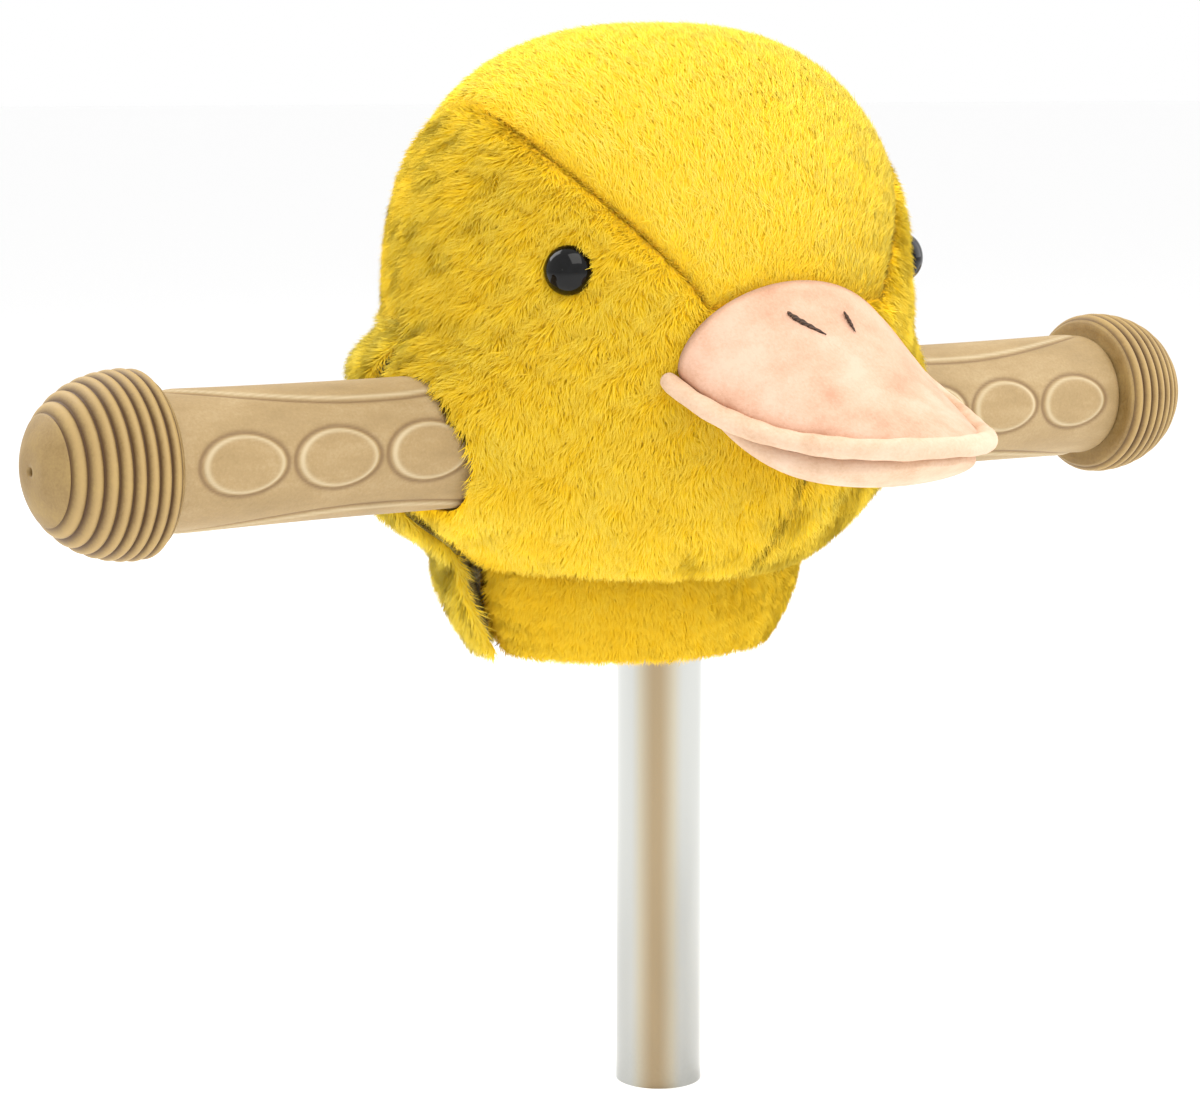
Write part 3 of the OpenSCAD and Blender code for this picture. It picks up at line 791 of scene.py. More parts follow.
class Finishes:
    """Every finish of the object, made once."""

    def __init__(self) -> None:
        """Makes the materials."""
        # each pile's root colour is painted shade of the pile's depth and its tip colour a painted bloom, palest
        # on the crown
        self.crown_pile = PlushPile("crown_plush_pile", "#FFCE28", "#FFDF48", "#FFEE84", "#FFD538").make()
        self.cheek_pile = PlushPile("cheek_plush_pile", "#F4BC16", "#FFD82E", "#FFEC78", "#F8CA24").make()
        self.neck_pile = PlushPile("neck_plush_pile", "#F4BC18", "#FFD028", "#FFE258", "#F8C420").make()
        # a paler copy of the plush: painted light for the light the flap catches from behind
        self.flap_pile = PlushPile("flap_plush_pile", "#FACC2A", "#FFDF40", "#FFF088", "#FCD436").make()
        self.backing = KnitBacking("knitted_backing", "#FAD23E", "#EBBA26").make()
        self.bill = BrushedVelour("peach_velour", "#E2BBA4", "#D7AC92", "#C9997E").make()
        self.rim = BrushedVelour("rolled_rim_velour", "#E2C6AE", "#D8B89C", "#CAA486").make()
        self.mouth = BrushedVelour("mouth_velour", "#F6C4A8", "#EDB294", "#DD9C7E").make()
        self.lining = WovenLining("polyester_lining", "#C9B04A", "#8F7A2A").make()
        # the last two colours of each rubber: painted shade in its grooves, painted highlight on its edges
        self.grip = MouldedRubber("grip_rubber", "#B09870", "#A3895E", "#967D52", "#745836",
                                  "#C9B794").make()
        self.bar_end = MouldedRubber("bar_end_rubber", "#A0854F", "#917646", "#826634", "#4E3114",
                                     "#B4965F").make()
        # both metals carry a painted warm reflection streak
        self.chrome = PolishedMetal("chromium_plate", "#938267", "#A9A291", "#ADAEAB", 0.07).make()
        self.weld = PolishedMetal("ground_weld", "#A39C8E", "#B9B7B3", "#D0CFCC", 0.35, line=0.9).make()
        self.eye = GlossPlastic("black_acrylic_eye", "#050505", "#101012", 0.04).make()
        self.washer = GlossPlastic("white_washer_plastic", "#E9E7E0", "#F7F6F2", 0.35).make()
        self.thread = TwistedThread("nostril_thread", "#5A4130", "#2A1C14").make()
        self.loop = ClosureTape("loop_tape", "#E9C84E", "#B8921E", 0.9).make()
        self.hook = ClosureTape("hook_tape", "#E6DCB4", "#A99A68", 1.3).make()


# ---- the soft head's outline -----------------------------------------------------


@dataclass(frozen=True)
class HeadForm:
    """Outline rules of the soft head, in millimetres; turns are in degrees from straight ahead."""

    bar: float
    half_width: float = 70.0
    front: float = 70.0
    back: float = 63.0
    belly: float = 28.0
    crown: float = 75.0
    chin: float = 69.0
    drop: float = 61.0
    middle_y: float = 3.0
    chin_back: float = 12.0
    cheek_swell: float = 9.0
    neck_height: float = 23.0
    neck_width: float = 47.0
    neck_depth: float = 40.0
    neck_taper: float = 8.0
    crown_power: float = 2.5
    chin_power: float = 3.0
    swell_turn: tuple[float, float] = (48.0, 32.0)
    swell_height: tuple[float, float] = (30.0, 20.0)
    flare: float = 9.0
    flare_fade: float = 13.0
    flare_nape: float = 0.55
    flare_hem: float = 0.78
    hem_fade: float = 30.0
    neck_fade: tuple[float, float] = (3.0, 16.0)
    plush: float = 4.0
    cloth_top: float = 2.7
    brow: tuple[float, float] = (24.0, 34.0)
    ear: tuple[float, float] = (102.0, 84.0)
    brow_power: float = 0.8
    ear_power: float = 1.8
    nape_turn: float = 151.0
    part_gap: float = 1.2
    face_power: float = 1.75
    nape_power: float = 2.2
    eye_turn: float = 54.0
    eye_z: float = 43.0
    seam_depth: float = 1.3
    seam_width: float = 2.4

    @property
    def seam(self) -> float:
        """Height of the chin seam over the bar."""
        return self.belly - self.drop

    @property
    def hem(self) -> float:
        """Height of the neck's hem over the bar."""
        return self.seam - self.neck_height

    def girth(self, z: np.ndarray) -> np.ndarray:
        """Share of the full width at a height over the bar.

        Args:
            z: heights over the bar.

        Returns:
            Shares from 0 to 1.
        """
        up = root(1 - np.clip((z - self.belly) / self.crown, 0, 1) ** self.crown_power, self.crown_power)
        down = root(1 - np.clip((self.belly - z) / self.chin, 0, 1) ** self.chin_power, self.chin_power)
        return np.where(np.asarray(z) > self.belly, up, down)

    def middle(self, z: np.ndarray) -> np.ndarray:
        """How far back the middle of the head lies at a height."""
        return self.middle_y + self.chin_back * (np.maximum(self.belly - z, 0) / (self.drop + 8)) ** 2

    def radius(self, turn: np.ndarray) -> np.ndarray:
        """Full radius in a direction.

        Args:
            turn: directions in degrees, 0 straight ahead.

        Returns:
            Radii in millimetres.
        """
        across, ahead = np.abs(np.sin(np.radians(turn))), np.cos(np.radians(turn))
        depth = np.where(ahead >= 0, self.front, self.back)
        n = np.where(ahead >= 0, self.face_power, self.nape_power)
        return (1 / ((across / self.half_width) ** n + (np.abs(ahead) / depth) ** n)) ** (1 / n)

    def place(self, turn: np.ndarray, middle: np.ndarray, reach: np.ndarray, z: np.ndarray) -> np.ndarray:
        """Points at a reach from the head's middle, in the row frame.

        Args:
            turn: directions in degrees, 0 straight ahead.
            middle: how far back the middle lies.
            reach: distance from the middle.
            z: heights over the bar.

        Returns:
            The points.
        """
        turn, middle, reach, z = np.broadcast_arrays(turn, middle, reach, z)
        a = np.radians(turn)
        return np.stack([-np.sin(a) * reach, middle - np.cos(a) * reach, self.bar + z], -1)

    def head(self, turn: np.ndarray, z: np.ndarray, deep: np.ndarray | float = 0.0) -> np.ndarray:
        """A point of the head's outside, or of a layer deep millimetres under it.

        Args:
            turn: directions in degrees, 0 straight ahead.
            z: heights over the bar.
            deep: depth of the layer.

        Returns:
            The points.
        """
        inner = np.where(np.asarray(z) > self.belly,
                         self.belly + (z - self.belly) * (self.crown - deep) / self.crown, z)
        away = np.abs(np.where(np.asarray(turn) > 180, np.asarray(turn) - 360, turn))
        (start, over), (top, fade) = self.swell_turn, self.swell_height
        swell = self.cheek_swell * smooth((away - start) / over) * smooth((top - np.abs(z)) / fade)
        reach = np.maximum(self.radius(turn) - deep, 1) * self.girth(z) + swell
        return self.place(turn, self.middle(z), reach, inner)

    def neck(self, turn: np.ndarray, z: np.ndarray, deep: float = 0.0) -> np.ndarray:
        """A point of the neck band.

        Args:
            turn: directions in degrees, 0 straight ahead.
            z: heights over the bar.
            deep: depth of the layer.

        Returns:
            The points.
        """
        low = np.clip((self.seam - np.asarray(z)) / self.neck_height, 0, 1)
        slim = self.neck_taper * low * low
        a = np.radians(turn)
        reach = 1 / np.sqrt((np.sin(a) / (self.neck_width - slim - deep)) ** 2
                            + (np.cos(a) / (self.neck_depth - slim - deep)) ** 2)
        return self.place(turn, self.middle(self.seam), reach, z)

    def flap(self, turn: np.ndarray, z: np.ndarray, deep: float = 0.0) -> np.ndarray:
        """A point of the back flap, which stands out beyond the head's own outline.

        Args:
            turn: directions in degrees, 0 straight ahead.
            z: heights over the bar.
            deep: depth of the layer.

        Returns:
            The points.
        """
        z = np.asarray(z, float)
        nape, hem = self.flare_nape, self.flare_hem
        flare = (self.flare * smooth((self.belly - z) / self.flare_fade)
                 * (nape + (1 - nape) * np.abs(np.sin(np.radians(turn))))
                 * (hem + (1 - hem) * smooth((z - self.hem) / self.hem_fade)))
        low = smooth((z - self.seam + self.neck_fade[0]) / self.neck_fade[1])
        head = self.radius(turn) * self.girth(np.maximum(z, self.seam))
        below = self.neck(turn, np.minimum(z, self.seam))
        neck = np.hypot(below[..., 0], below[..., 1] - self.middle(self.seam))
        reach = head * low + neck * (1 - low) + flare - deep
        return self.place(turn, self.middle(np.maximum(z, self.seam)), reach, z)

    def crown_seam(self, turn: np.ndarray) -> np.ndarray:
        """Height of the seam between the crown and the cheek.

        Args:
            turn: directions in degrees, 0 straight ahead.

        Returns:
            Heights over the bar.
        """
        away = np.abs(np.where(np.asarray(turn) > 180, np.asarray(turn) - 360, turn))
        brow_turn, brow_z = self.brow
        ear_turn, ear_z = self.ear
        rise = np.clip((away - brow_turn) / (ear_turn - brow_turn), 0, 1)
        fall = np.clip((away - ear_turn) / (self.nape_turn - ear_turn), 0, 2)
        ahead = brow_z + (ear_z - brow_z) * np.sin(math.pi / 2 * rise) ** self.brow_power
        behind = ear_z - (ear_z - self.belly) * fall ** self.ear_power
        behind = np.maximum(self.belly + self.part_gap / 2, behind)
        return np.where(away < ear_turn, ahead, behind)

    def seam_line(self) -> np.ndarray:
        """Points along the whole seam between the crown and the cheeks."""
        turn = np.arange(0, 360, 1.5)
        return self.head(turn, self.crown_seam(turn), self.cloth_top)

    def off_seam(self, points: np.ndarray) -> np.ndarray:
        """Distance of each point from the crown's seam."""
        return nearest(points, self.seam_line())

    def eye_frame(self, side: float) -> tuple[np.ndarray, np.ndarray]:
        """The middle and the outward direction of an eye.

        Args:
            side: RIGHT or LEFT.

        Returns:
            The middle, and the outward direction at length 1.
        """
        spot = self.head(self.eye_turn, self.eye_z)
        along = self.head(self.eye_turn + 1, self.eye_z) - spot
        up = self.head(self.eye_turn, self.eye_z + 1) - spot
        out = unit(np.cross(up, along))
        mirror = np.array([-side, 1.0, 1.0])
        return spot * mirror, out * mirror

    def off_eyes(self, points: np.ndarray) -> np.ndarray:
        """Distance of each point from the nearer eye's middle."""
        spots = [self.eye_frame(side)[0] for side in (RIGHT, LEFT)]
        return np.min([np.linalg.norm(points - spot, axis=-1) for spot in spots], axis=0)

    def face(self, x: np.ndarray, z: np.ndarray) -> np.ndarray:
        """Where the head's front lies, at a distance from the middle and a height.

        Args:
            x: distances from the middle.
            z: heights over the bar.

        Returns:
            Places along Y.
        """
        share = np.clip(np.abs(x) / (self.half_width * self.girth(z)), 0, 1)
        return self.middle(z) - self.front * self.girth(z) * root(
            1 - share ** self.face_power, self.face_power)


# ---- pile ------------------------------------------------------------------------


class Comb(Enum):
    """The way a panel's pile is brushed: a direction, or for the top, the axis that it goes round."""

    OVER_THE_TOP = (1.0, 0.0, 0.0)
    DOWN_THE_CHEEK = (0.0, 0.35, -1.0)
    DOWN = (0.0, 0.1, -1.0)


@dataclass(frozen=True)
class Pile:
    """Cut pile on a panel: sizes in millimetres, leans in degrees from the cloth's normal."""

    count: int
    length: float
    width: float
    lean: float
    comb: Comb
    unruly: float
    clump: float
    seed: int
    tone: float = 0.55
    softness: float = 0.25
    fringe: float = -0.25
    most_lean: float = 80.0
    eye_clear: float = 5.7
    eye_fade: tuple[float, float] = (6.0, 2.5)
    seam_fade: tuple[float, float] = (0.4, 4.5)
    # widths of the painted shade along the crown's seam and the bill's root
    seam_shade: float = 2.0
    crease_shade: float = 3.2

    def grow(self, name: str, cloth: bpy.types.Object, form: HeadForm, crease: np.ndarray,
             finish: bpy.types.Material) -> bpy.types.Object:
        """Grows the pile on the outer faces of a panel.

        Args:
            name: name of the new piece.
            cloth: the panel that it stands on.
            form: the head's outline, which says where the seams and eyes are.
            crease: points of the bill's root, where the pile is shorter and darkened with painted shade.
            finish: the pile's material.

        Returns:
            One mesh of all the fibres.
        """
        rng = np.random.default_rng(self.seed)
        spots, normals = self.roots(cloth, form, rng)
        seam = smooth((form.off_seam(spots) - self.seam_fade[0]) / self.seam_fade[1])
        eye = smooth((form.off_eyes(spots) - self.eye_fade[0]) / self.eye_fade[1])
        keep = form.off_eyes(spots) > self.eye_clear
        spots, normals, seam, eye = spots[keep], normals[keep], seam[keep], eye[keep]
        count = len(spots)
        wave = ripple(spots, self.clump, self.seed + 1)
        broad = ripple(spots, self.clump * 4.5, self.seed + 2)
        side = ripple(spots, self.clump * 1.6, self.seed + 3)
        comb = np.array(self.comb.value)
        if self.comb is Comb.OVER_THE_TOP:
            comb = np.cross(normals, comb)
        sideways = unit(np.cross(normals, comb))
        ahead = unit(np.cross(sideways, normals))
        turn = self.unruly * (0.9 * side + 0.5 * broad) + rng.normal(0, 0.35, count)
        way = ahead * np.cos(turn)[:, None] + sideways * np.sin(turn)[:, None]
        lean = np.radians(np.minimum(self.lean + 7 * wave + rng.normal(0, 6, count), self.most_lean))
        length = self.length * (0.86 + 0.14 * wave + rng.normal(0, 0.07, count))
        length *= (0.5 + 0.5 * seam) * (0.8 + 0.2 * eye)
        # the tone falls round each eye: a painted shade in the eye's dimple
        tone = self.tone + 0.14 * wave + 0.16 * broad + rng.normal(0, 0.07, count) - 0.2 * (1 - eye)
        # painted shade: the pile darkens to amber along the bill's root and the crown's seam
        pressed_and_painted_shade = np.exp(-(nearest(spots, crease) / self.crease_shade) ** 2)
        painted_shade = np.maximum(0.95 * pressed_and_painted_shade, 0.8 * np.exp(-(form.off_seam(spots) / self.seam_shade) ** 2))
        length *= 1 - 0.3 * pressed_and_painted_shade
        tone = np.clip(tone, 0.2, 1) * (1 - painted_shade)
        return self.blades(name, spots, normals, way, lean, length, tone, finish)

    def roots(self, cloth: bpy.types.Object, form: HeadForm,
              rng: np.random.Generator) -> tuple[np.ndarray, np.ndarray]:
        """Scatters the fibres' roots over the faces that look outwards.

        Args:
            cloth: the panel.
            form: the head's outline.
            rng: the random numbers to use.

        Returns:
            Points in millimetres and the cloth's smooth normals there.
        """
        mesh = cloth.data
        mesh.calc_loop_triangles()
        tri = np.empty(len(mesh.loop_triangles) * 3, np.int32)
        mesh.loop_triangles.foreach_get("vertices", tri)
        tri = tri.reshape(-1, 3)
        co = points_of(cloth)
        a, b, c = co[tri[:, 0]], co[tri[:, 1]], co[tri[:, 2]]
        cross = np.cross(b - a, c - a)
        area, flat = np.linalg.norm(cross, axis=1) / 2, unit(cross)
        middle = (a + b + c) / 3
        out = middle - np.array([0.0, form.middle_y, form.bar + 10])
        facing = (flat * unit(out)).sum(1)
        grown = facing > self.fringe
        share = area * np.where(facing > 0.3, 1.0, 2.2) * grown
        rim = smooth_normals(co, tri, cross * grown[:, None])
        pick = rng.choice(len(tri), self.count, p=share / share.sum())
        u, v = np.sqrt(rng.random(self.count)), rng.random(self.count)
        bary = np.stack([1 - u, u * (1 - v), u * v], 1)
        spots = (co[tri[pick]] * bary[..., None]).sum(1)
        return spots, unit((rim[tri[pick]] * bary[..., None]).sum(1))

    def blades(self, name: str, spots: np.ndarray, normals: np.ndarray, way: np.ndarray, lean: np.ndarray,
               length: np.ndarray, tone: np.ndarray, finish: bpy.types.Material) -> bpy.types.Object:
        """Makes each fibre, as a three-sided pointed spike.

        Args:
            name: the piece's name.
            spots: the roots.
            normals: the cloth's normals there.
            way: the directions the fibres lean in.
            lean: their leans, in radians.
            length: their lengths.
            tone: from 0, dull, to 1, bright; under 0.2 it takes on the painted shade colour.
            finish: the material.

        Returns:
            The mesh object.
        """
        count = len(spots)
        axis = normals * np.cos(lean)[:, None] + way * np.sin(lean)[:, None]
        broad = np.cross(normals, way)
        third = np.cross(axis, broad)
        rings = [spots + self.width / 2 * (math.cos(t) * broad + math.sin(t) * third)
                 for t in (math.radians(30), math.radians(150), math.radians(270))]
        points = np.stack([*rings, spots + axis * length[:, None]], 1).reshape(-1, 3)
        start = (np.arange(count) * 4)[:, None, None]
        faces = (start + np.array([[0, 1, 3], [1, 2, 3], [2, 0, 3]])[None]).reshape(-1, 3)
        mesh = bpy.data.meshes.new(name)
        mesh.from_pydata(points * MM, [], faces)
        patch = 0.003
        across, along = np.array([0, patch, patch / 2, patch / 2]), np.array([0.1, 0.1, 0.13, 0.8])
        at = np.stack([0.01 + 0.97 * tone[:, None] + across, np.broadcast_to(along, (count, 4))], -1)
        layer = mesh.uv_layers.new(name="OFBake")
        layer.data.foreach_set("uv", at.reshape(-1, 2)[faces.ravel()].astype(np.float32).ravel())
        mesh.polygons.foreach_set("use_smooth", np.ones(len(faces), bool))
        facing = unit(normals - self.softness * way)
        mesh.normals_split_custom_set_from_vertices(np.repeat(facing, 4, axis=0).astype(np.float32))
        return object_of(name, mesh, finish)


def smooth_normals(points: np.ndarray, triangles: np.ndarray, weighted: np.ndarray) -> np.ndarray:
    """Normals of points, from area-weighted normals of the triangles that touch them.

    Args:
        points: the points.
        triangles: three point numbers a row.
        weighted: the triangles' normals, by area.

    Returns:
        A normal for each point.
    """
    total = np.zeros_like(points)
    for corner in range(3):
        np.add.at(total, triangles[:, corner], weighted)
    return unit(total)


# ---- the stuffed head --------------------------------------------------------------


@dataclass
class StuffedHead:
    """The crown, the cheeks, the neck band and what is inside them; sizes in millimetres."""

    form: HeadForm
    finishes: Finishes
    crease: np.ndarray
    edge_y: float = 9.0
    sleeve: float = 17.1
    backing: float = 1.2
    eye_dent: tuple[float, float] = (1.0, 7.0)

    def grooved(self, points_at: Surface, turn: np.ndarray, z: np.ndarray) -> np.ndarray:
        """Points of a panel's outer side, sunk along the crown's seam and round the eyes.

        Args:
            points_at: the rule for the panel's surface.
            turn: directions.
            z: heights.

        Returns:
            The sunk points.
        """
        form = self.form
        plain = points_at(turn, z, form.cloth_top)
        sunk = form.seam_depth * np.exp(-(form.off_seam(plain) / form.seam_width) ** 2)
        sunk += self.eye_dent[0] * np.exp(-(form.off_eyes(plain) / self.eye_dent[1]) ** 4)
        most = form.plush - form.cloth_top - 0.1 + 1.0
        return points_at(turn, z, form.cloth_top + np.minimum(sunk, most))

    def crown(self) -> None:
        """The bright panel over the top of the head."""
        form = self.form
        share = np.linspace(0, 1, 56)[:, None]
        turn = np.arange(0, 360, 2.0)[None, :]
        low = form.crown_seam(turn) + 0.1
        z = low + (form.belly + form.crown - 0.02 - low) * np.sin(math.pi / 2 * share)
        outer, inner = self.grooved(form.head, turn, z), form.head(turn, z, form.plush + self.backing)
        cloth = shell("crown_panel_cloth", outer, inner, True, self.finishes.backing, capped=True)
        pile = Pile(66000, 4.0, 0.32, 71, Comb.OVER_THE_TOP, 0.4, 2.4, 11, 0.65)
        self.dress(cloth, "crown_panel", "crown_pile", pile, self.finishes.crown_pile)

    def cheek(self, side: float) -> None:
        """A side panel, cut open at the back for the bar and the flap.

        Args:
            side: RIGHT or LEFT.
        """
        form = self.form
        turn = np.linspace(0.4, 150.4, 101)[None, :]
        share = np.linspace(0, 1, 72)[:, None]
        z = form.seam + 0.3 + (form.crown_seam(turn) - 0.2 - form.seam - 0.3) * share
        outer, inner = self.grooved(form.head, turn, z), form.head(turn, z, form.plush + self.backing)
        name = "cheek_right" if side == RIGHT else "cheek_left"
        mirror = np.array([-side, 1.0, 1.0])
        cloth = shell(name + "_cloth", outer * mirror, inner * mirror, False, self.finishes.backing)
        without(cloth, self.rear_prism(side))
        without(cloth, self.bar_core(side))
        seed = 23 if side == RIGHT else 29
        pile = Pile(66000, 4.8, 0.36, 56, Comb.DOWN_THE_CHEEK, 0.65, 4.6, seed, 0.55)
        self.dress(cloth, name, name + "_pile", pile, self.finishes.cheek_pile)

    def rear_prism(self, side: float) -> bpy.types.Object:
        """A block that takes away what lies behind the cheek's rear edge and under the flap's hinge.

        Args:
            side: RIGHT or LEFT.

        Returns:
            The cutter.
        """
        form, edge = self.form, self.edge_y
        outline = [(edge + 2.5, form.belly + 0.6), (160, form.belly + 0.6), (160, form.hem - 30),
                   (edge + 1, form.hem - 30), (edge + 1, form.seam), (edge, -16.4), (edge, 13.1)]
        return self.prism(outline, side)

    def bar_core(self, side: float) -> bpy.types.Object:
        """A round block that takes away the room of the grip."""
        turn = np.arange(72) / 72 * 2 * math.pi
        return self.prism([(self.sleeve * math.cos(t), self.sleeve * math.sin(t)) for t in turn], side)

    def prism(self, outline: list, side: float) -> bpy.types.Object:
        """Extrudes an outline in Y and Z across one side of the head.

        Args:
            outline: (Y, height over the bar) pairs.
            side: RIGHT or LEFT.

        Returns:
            The cutter.
        """
        near, far = 2.0 * side, 130.0 * side
        count = len(outline)
        points = [[x, y, self.form.bar + z] for x in (near, far) for y, z in outline]
        faces = [[k, (k + 1) % count, count + (k + 1) % count, count + k] for k in range(count)]
        faces += [list(range(count)), [count + k for k in range(count)]]
        return solid("cutter", np.array(points), faces, self.finishes.backing)

    def neck_band(self) -> None:
        """The band under the chin, open at the back."""
        form = self.form
        z = np.linspace(form.hem, form.seam - 0.2, 22)[:, None]
        tuck = self.edge_y + 2.8 + 5 * (form.seam - z[:, 0]) / form.neck_height
        turn = self.turn_at(form.neck, z[:, 0], tuck) * np.linspace(-1, 1, 121)[None, :]
        cloth = shell("neck_band_cloth", form.neck(turn, z, 2.4), form.neck(turn, z, form.plush + 1.0),
                      False, self.finishes.backing)
        pile = Pile(40000, 4.4, 0.32, 58, Comb.DOWN, 0.7, 3.2, 37, 0.55, fringe=-0.6)
        self.dress(cloth, "neck_band", "neck_pile", pile, self.finishes.neck_pile)

    def turn_at(self, surface: Surface, heights: np.ndarray, y: float | np.ndarray) -> np.ndarray:
        """The direction in which a surface reaches a depth, at each height.

        Args:
            surface: the rule for the surface.
            heights: the heights over the bar.
            y: the depth, or one for each height.

        Returns:
            A column of directions.
        """
        turn = np.linspace(60, 176, 600)
        depths = np.broadcast_to(y, heights.shape)
        found = [np.interp(d, surface(turn, np.full_like(turn, z), 2.4)[:, 1], turn)
                 for z, d in zip(heights, depths, strict=True)]
        return np.array(found)[:, None]

    def core(self) -> None:
        """The filling in its cloth, with the lined way for the bar and the stem."""
        core = remade("stuffed_core", "head_filling", 2.6, 3, self.finishes.lining)
        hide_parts("head_filling", "channel_lining")
        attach(core, "head")
        LOG.info("stuffed_core")

    def dress(self, cloth: bpy.types.Object, node: str, name: str, pile: Pile, finish: bpy.types.Material) -> None:
        """Grows a panel's pile and puts both on the head.

        Args:
            cloth: the panel.
            node: the CAD node that it stands for.
            name: the pile's name.
            pile: how it grows.
            finish: the pile's material.
        """
        fibres = pile.grow(name, cloth, self.form, self.crease, finish)
        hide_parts(node)
        for piece in (cloth, fibres):
            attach(piece, "head")
        LOG.info("%s and %s", cloth.name, name)

    def build(self) -> None:
        """Makes every piece of the stuffed head."""
        self.crown()
        self.cheek(RIGHT)
        self.cheek(LEFT)
        self.neck_band()
        self.core()


@dataclass
class BackFlap:
    """The padded panel that closes behind the bar; sizes in millimetres."""

    form: HeadForm
    finishes: Finishes
    padding: float = 5.0
    lining: float = 1.0
    sleeve: float = 17.1
    step_half: float = 16.4
    edges: tuple[float, float] = (12.8, 14.5)
    quilting: float = 21.0

    def front_edge(self, z: np.ndarray) -> np.ndarray:
        """How far forward the flap reaches at each height: it steps back round the grips.

        Args:
            z: heights over the bar.

        Returns:
            Places along Y.
        """
        form, step = self.form, self.sleeve + 1
        low, high = self.edges
        heights = [form.seam - 4, -self.step_half, self.step_half, form.belly - 5]
        return np.interp(z, heights, [low, step, step, high])

    def build(self, head: StuffedHead) -> None:
        """Makes the plush side, its pile, and the wadding with its lining.

        Args:
            head: the stuffed head, whose tools find the flap's edge.
        """
        form = self.form
        z = np.linspace(form.hem, form.belly - 0.7, 64)
        start = head.turn_at(form.flap, z, self.front_edge(z))
        share = np.linspace(0, 1, 150)[None, :]
        turn, heights = start + (360 - 2 * start) * share, z[:, None]
        sides = {
            "out": form.flap(turn, heights, form.cloth_top),
            "mid": form.flap(turn, heights, form.plush),
            "pad": form.flap(turn, heights, form.plush + 0.1),
            "in": self.quilted(turn, heights),
        }
        cloth = shell("back_flap_cloth", sides["out"], sides["mid"], False, self.finishes.backing)
        pile = Pile(66000, 5.0, 0.34, 52, Comb.DOWN, 0.65, 4.6, 41, 0.55, fringe=-0.6)
        fibres = pile.grow("back_flap_pile", cloth, form, head.crease, self.finishes.flap_pile)
        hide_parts("back_flap")
        lining = shell("flap_lining_quilted", sides["pad"][2:], sides["in"][2:], False,
                       self.finishes.lining)
        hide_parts("flap_wadding", "flap_lining")
        for piece, slot in ((cloth, "flap_plush"), (fibres, "flap_plush"), (lining, "lining_cloth")):
            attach(piece, "flap")
            LOG.info(piece.name)

    def quilted(self, turn: np.ndarray, z: np.ndarray) -> np.ndarray:
        """The lining's side: it bulges between the quilting lines and the sewn edge.

        Args:
            turn: directions in degrees, 0 straight ahead.
            z: heights over the bar.

        Returns:
            The points.
        """
        form = self.form
        depth = form.plush + self.padding + self.lining
        edge = np.linspace(0, 1, turn.shape[1])[None, :]
        sewn = smooth(np.minimum(edge, 1 - edge) * 22)
        sewn = sewn * smooth((z - form.hem) / 9) * smooth((form.belly - z) / 6)
        lines = np.abs(np.sin(math.pi * (z - form.hem) / self.quilting)) ** 0.5
        thin = form.plush + 1.2
        return form.flap(turn, z, thin + (depth - form.plush - 1.2) * sewn * (0.72 + 0.28 * lines))


@dataclass
class Closure:
    """The hook and loop patches that hold the flap to the neck."""

    finishes: Finishes

    def build(self) -> None:
        """Remakes the four patches as thin tufted tape."""
        for kind, body, finish, slot in (("loop_patch", "head", self.finishes.loop, "loop_tape"),
                                         ("hook_patch", "flap", self.finishes.hook, "hook_tape")):
            for side in ("right", "left"):
                node = f"{kind}_{side}"
                patch = remade(node + "_tape", node, 0.55, 1, finish)
                self.tuft(patch)
                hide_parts(node)
                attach(patch, body)
                LOG.info(patch.name)

    def tuft(self, patch: bpy.types.Object) -> None:
        """Raises small uneven tufts all over a patch.

        Args:
            patch: the patch, changed in place.
        """
        mesh = patch.data
        co, normal = corners_of(mesh), np.empty(len(mesh.vertices) * 3, np.float32)
        mesh.vertex_normals.foreach_get("vector", normal)
        normal = normal.reshape(-1, 3)
        lift = 0.12 * ripple(co / MM, 1.5, 5) * MM
        mesh.vertices.foreach_set("co", (co + normal * lift[:, None]).astype(np.float32).ravel())


# ---- bill ------------------------------------------------------------------------


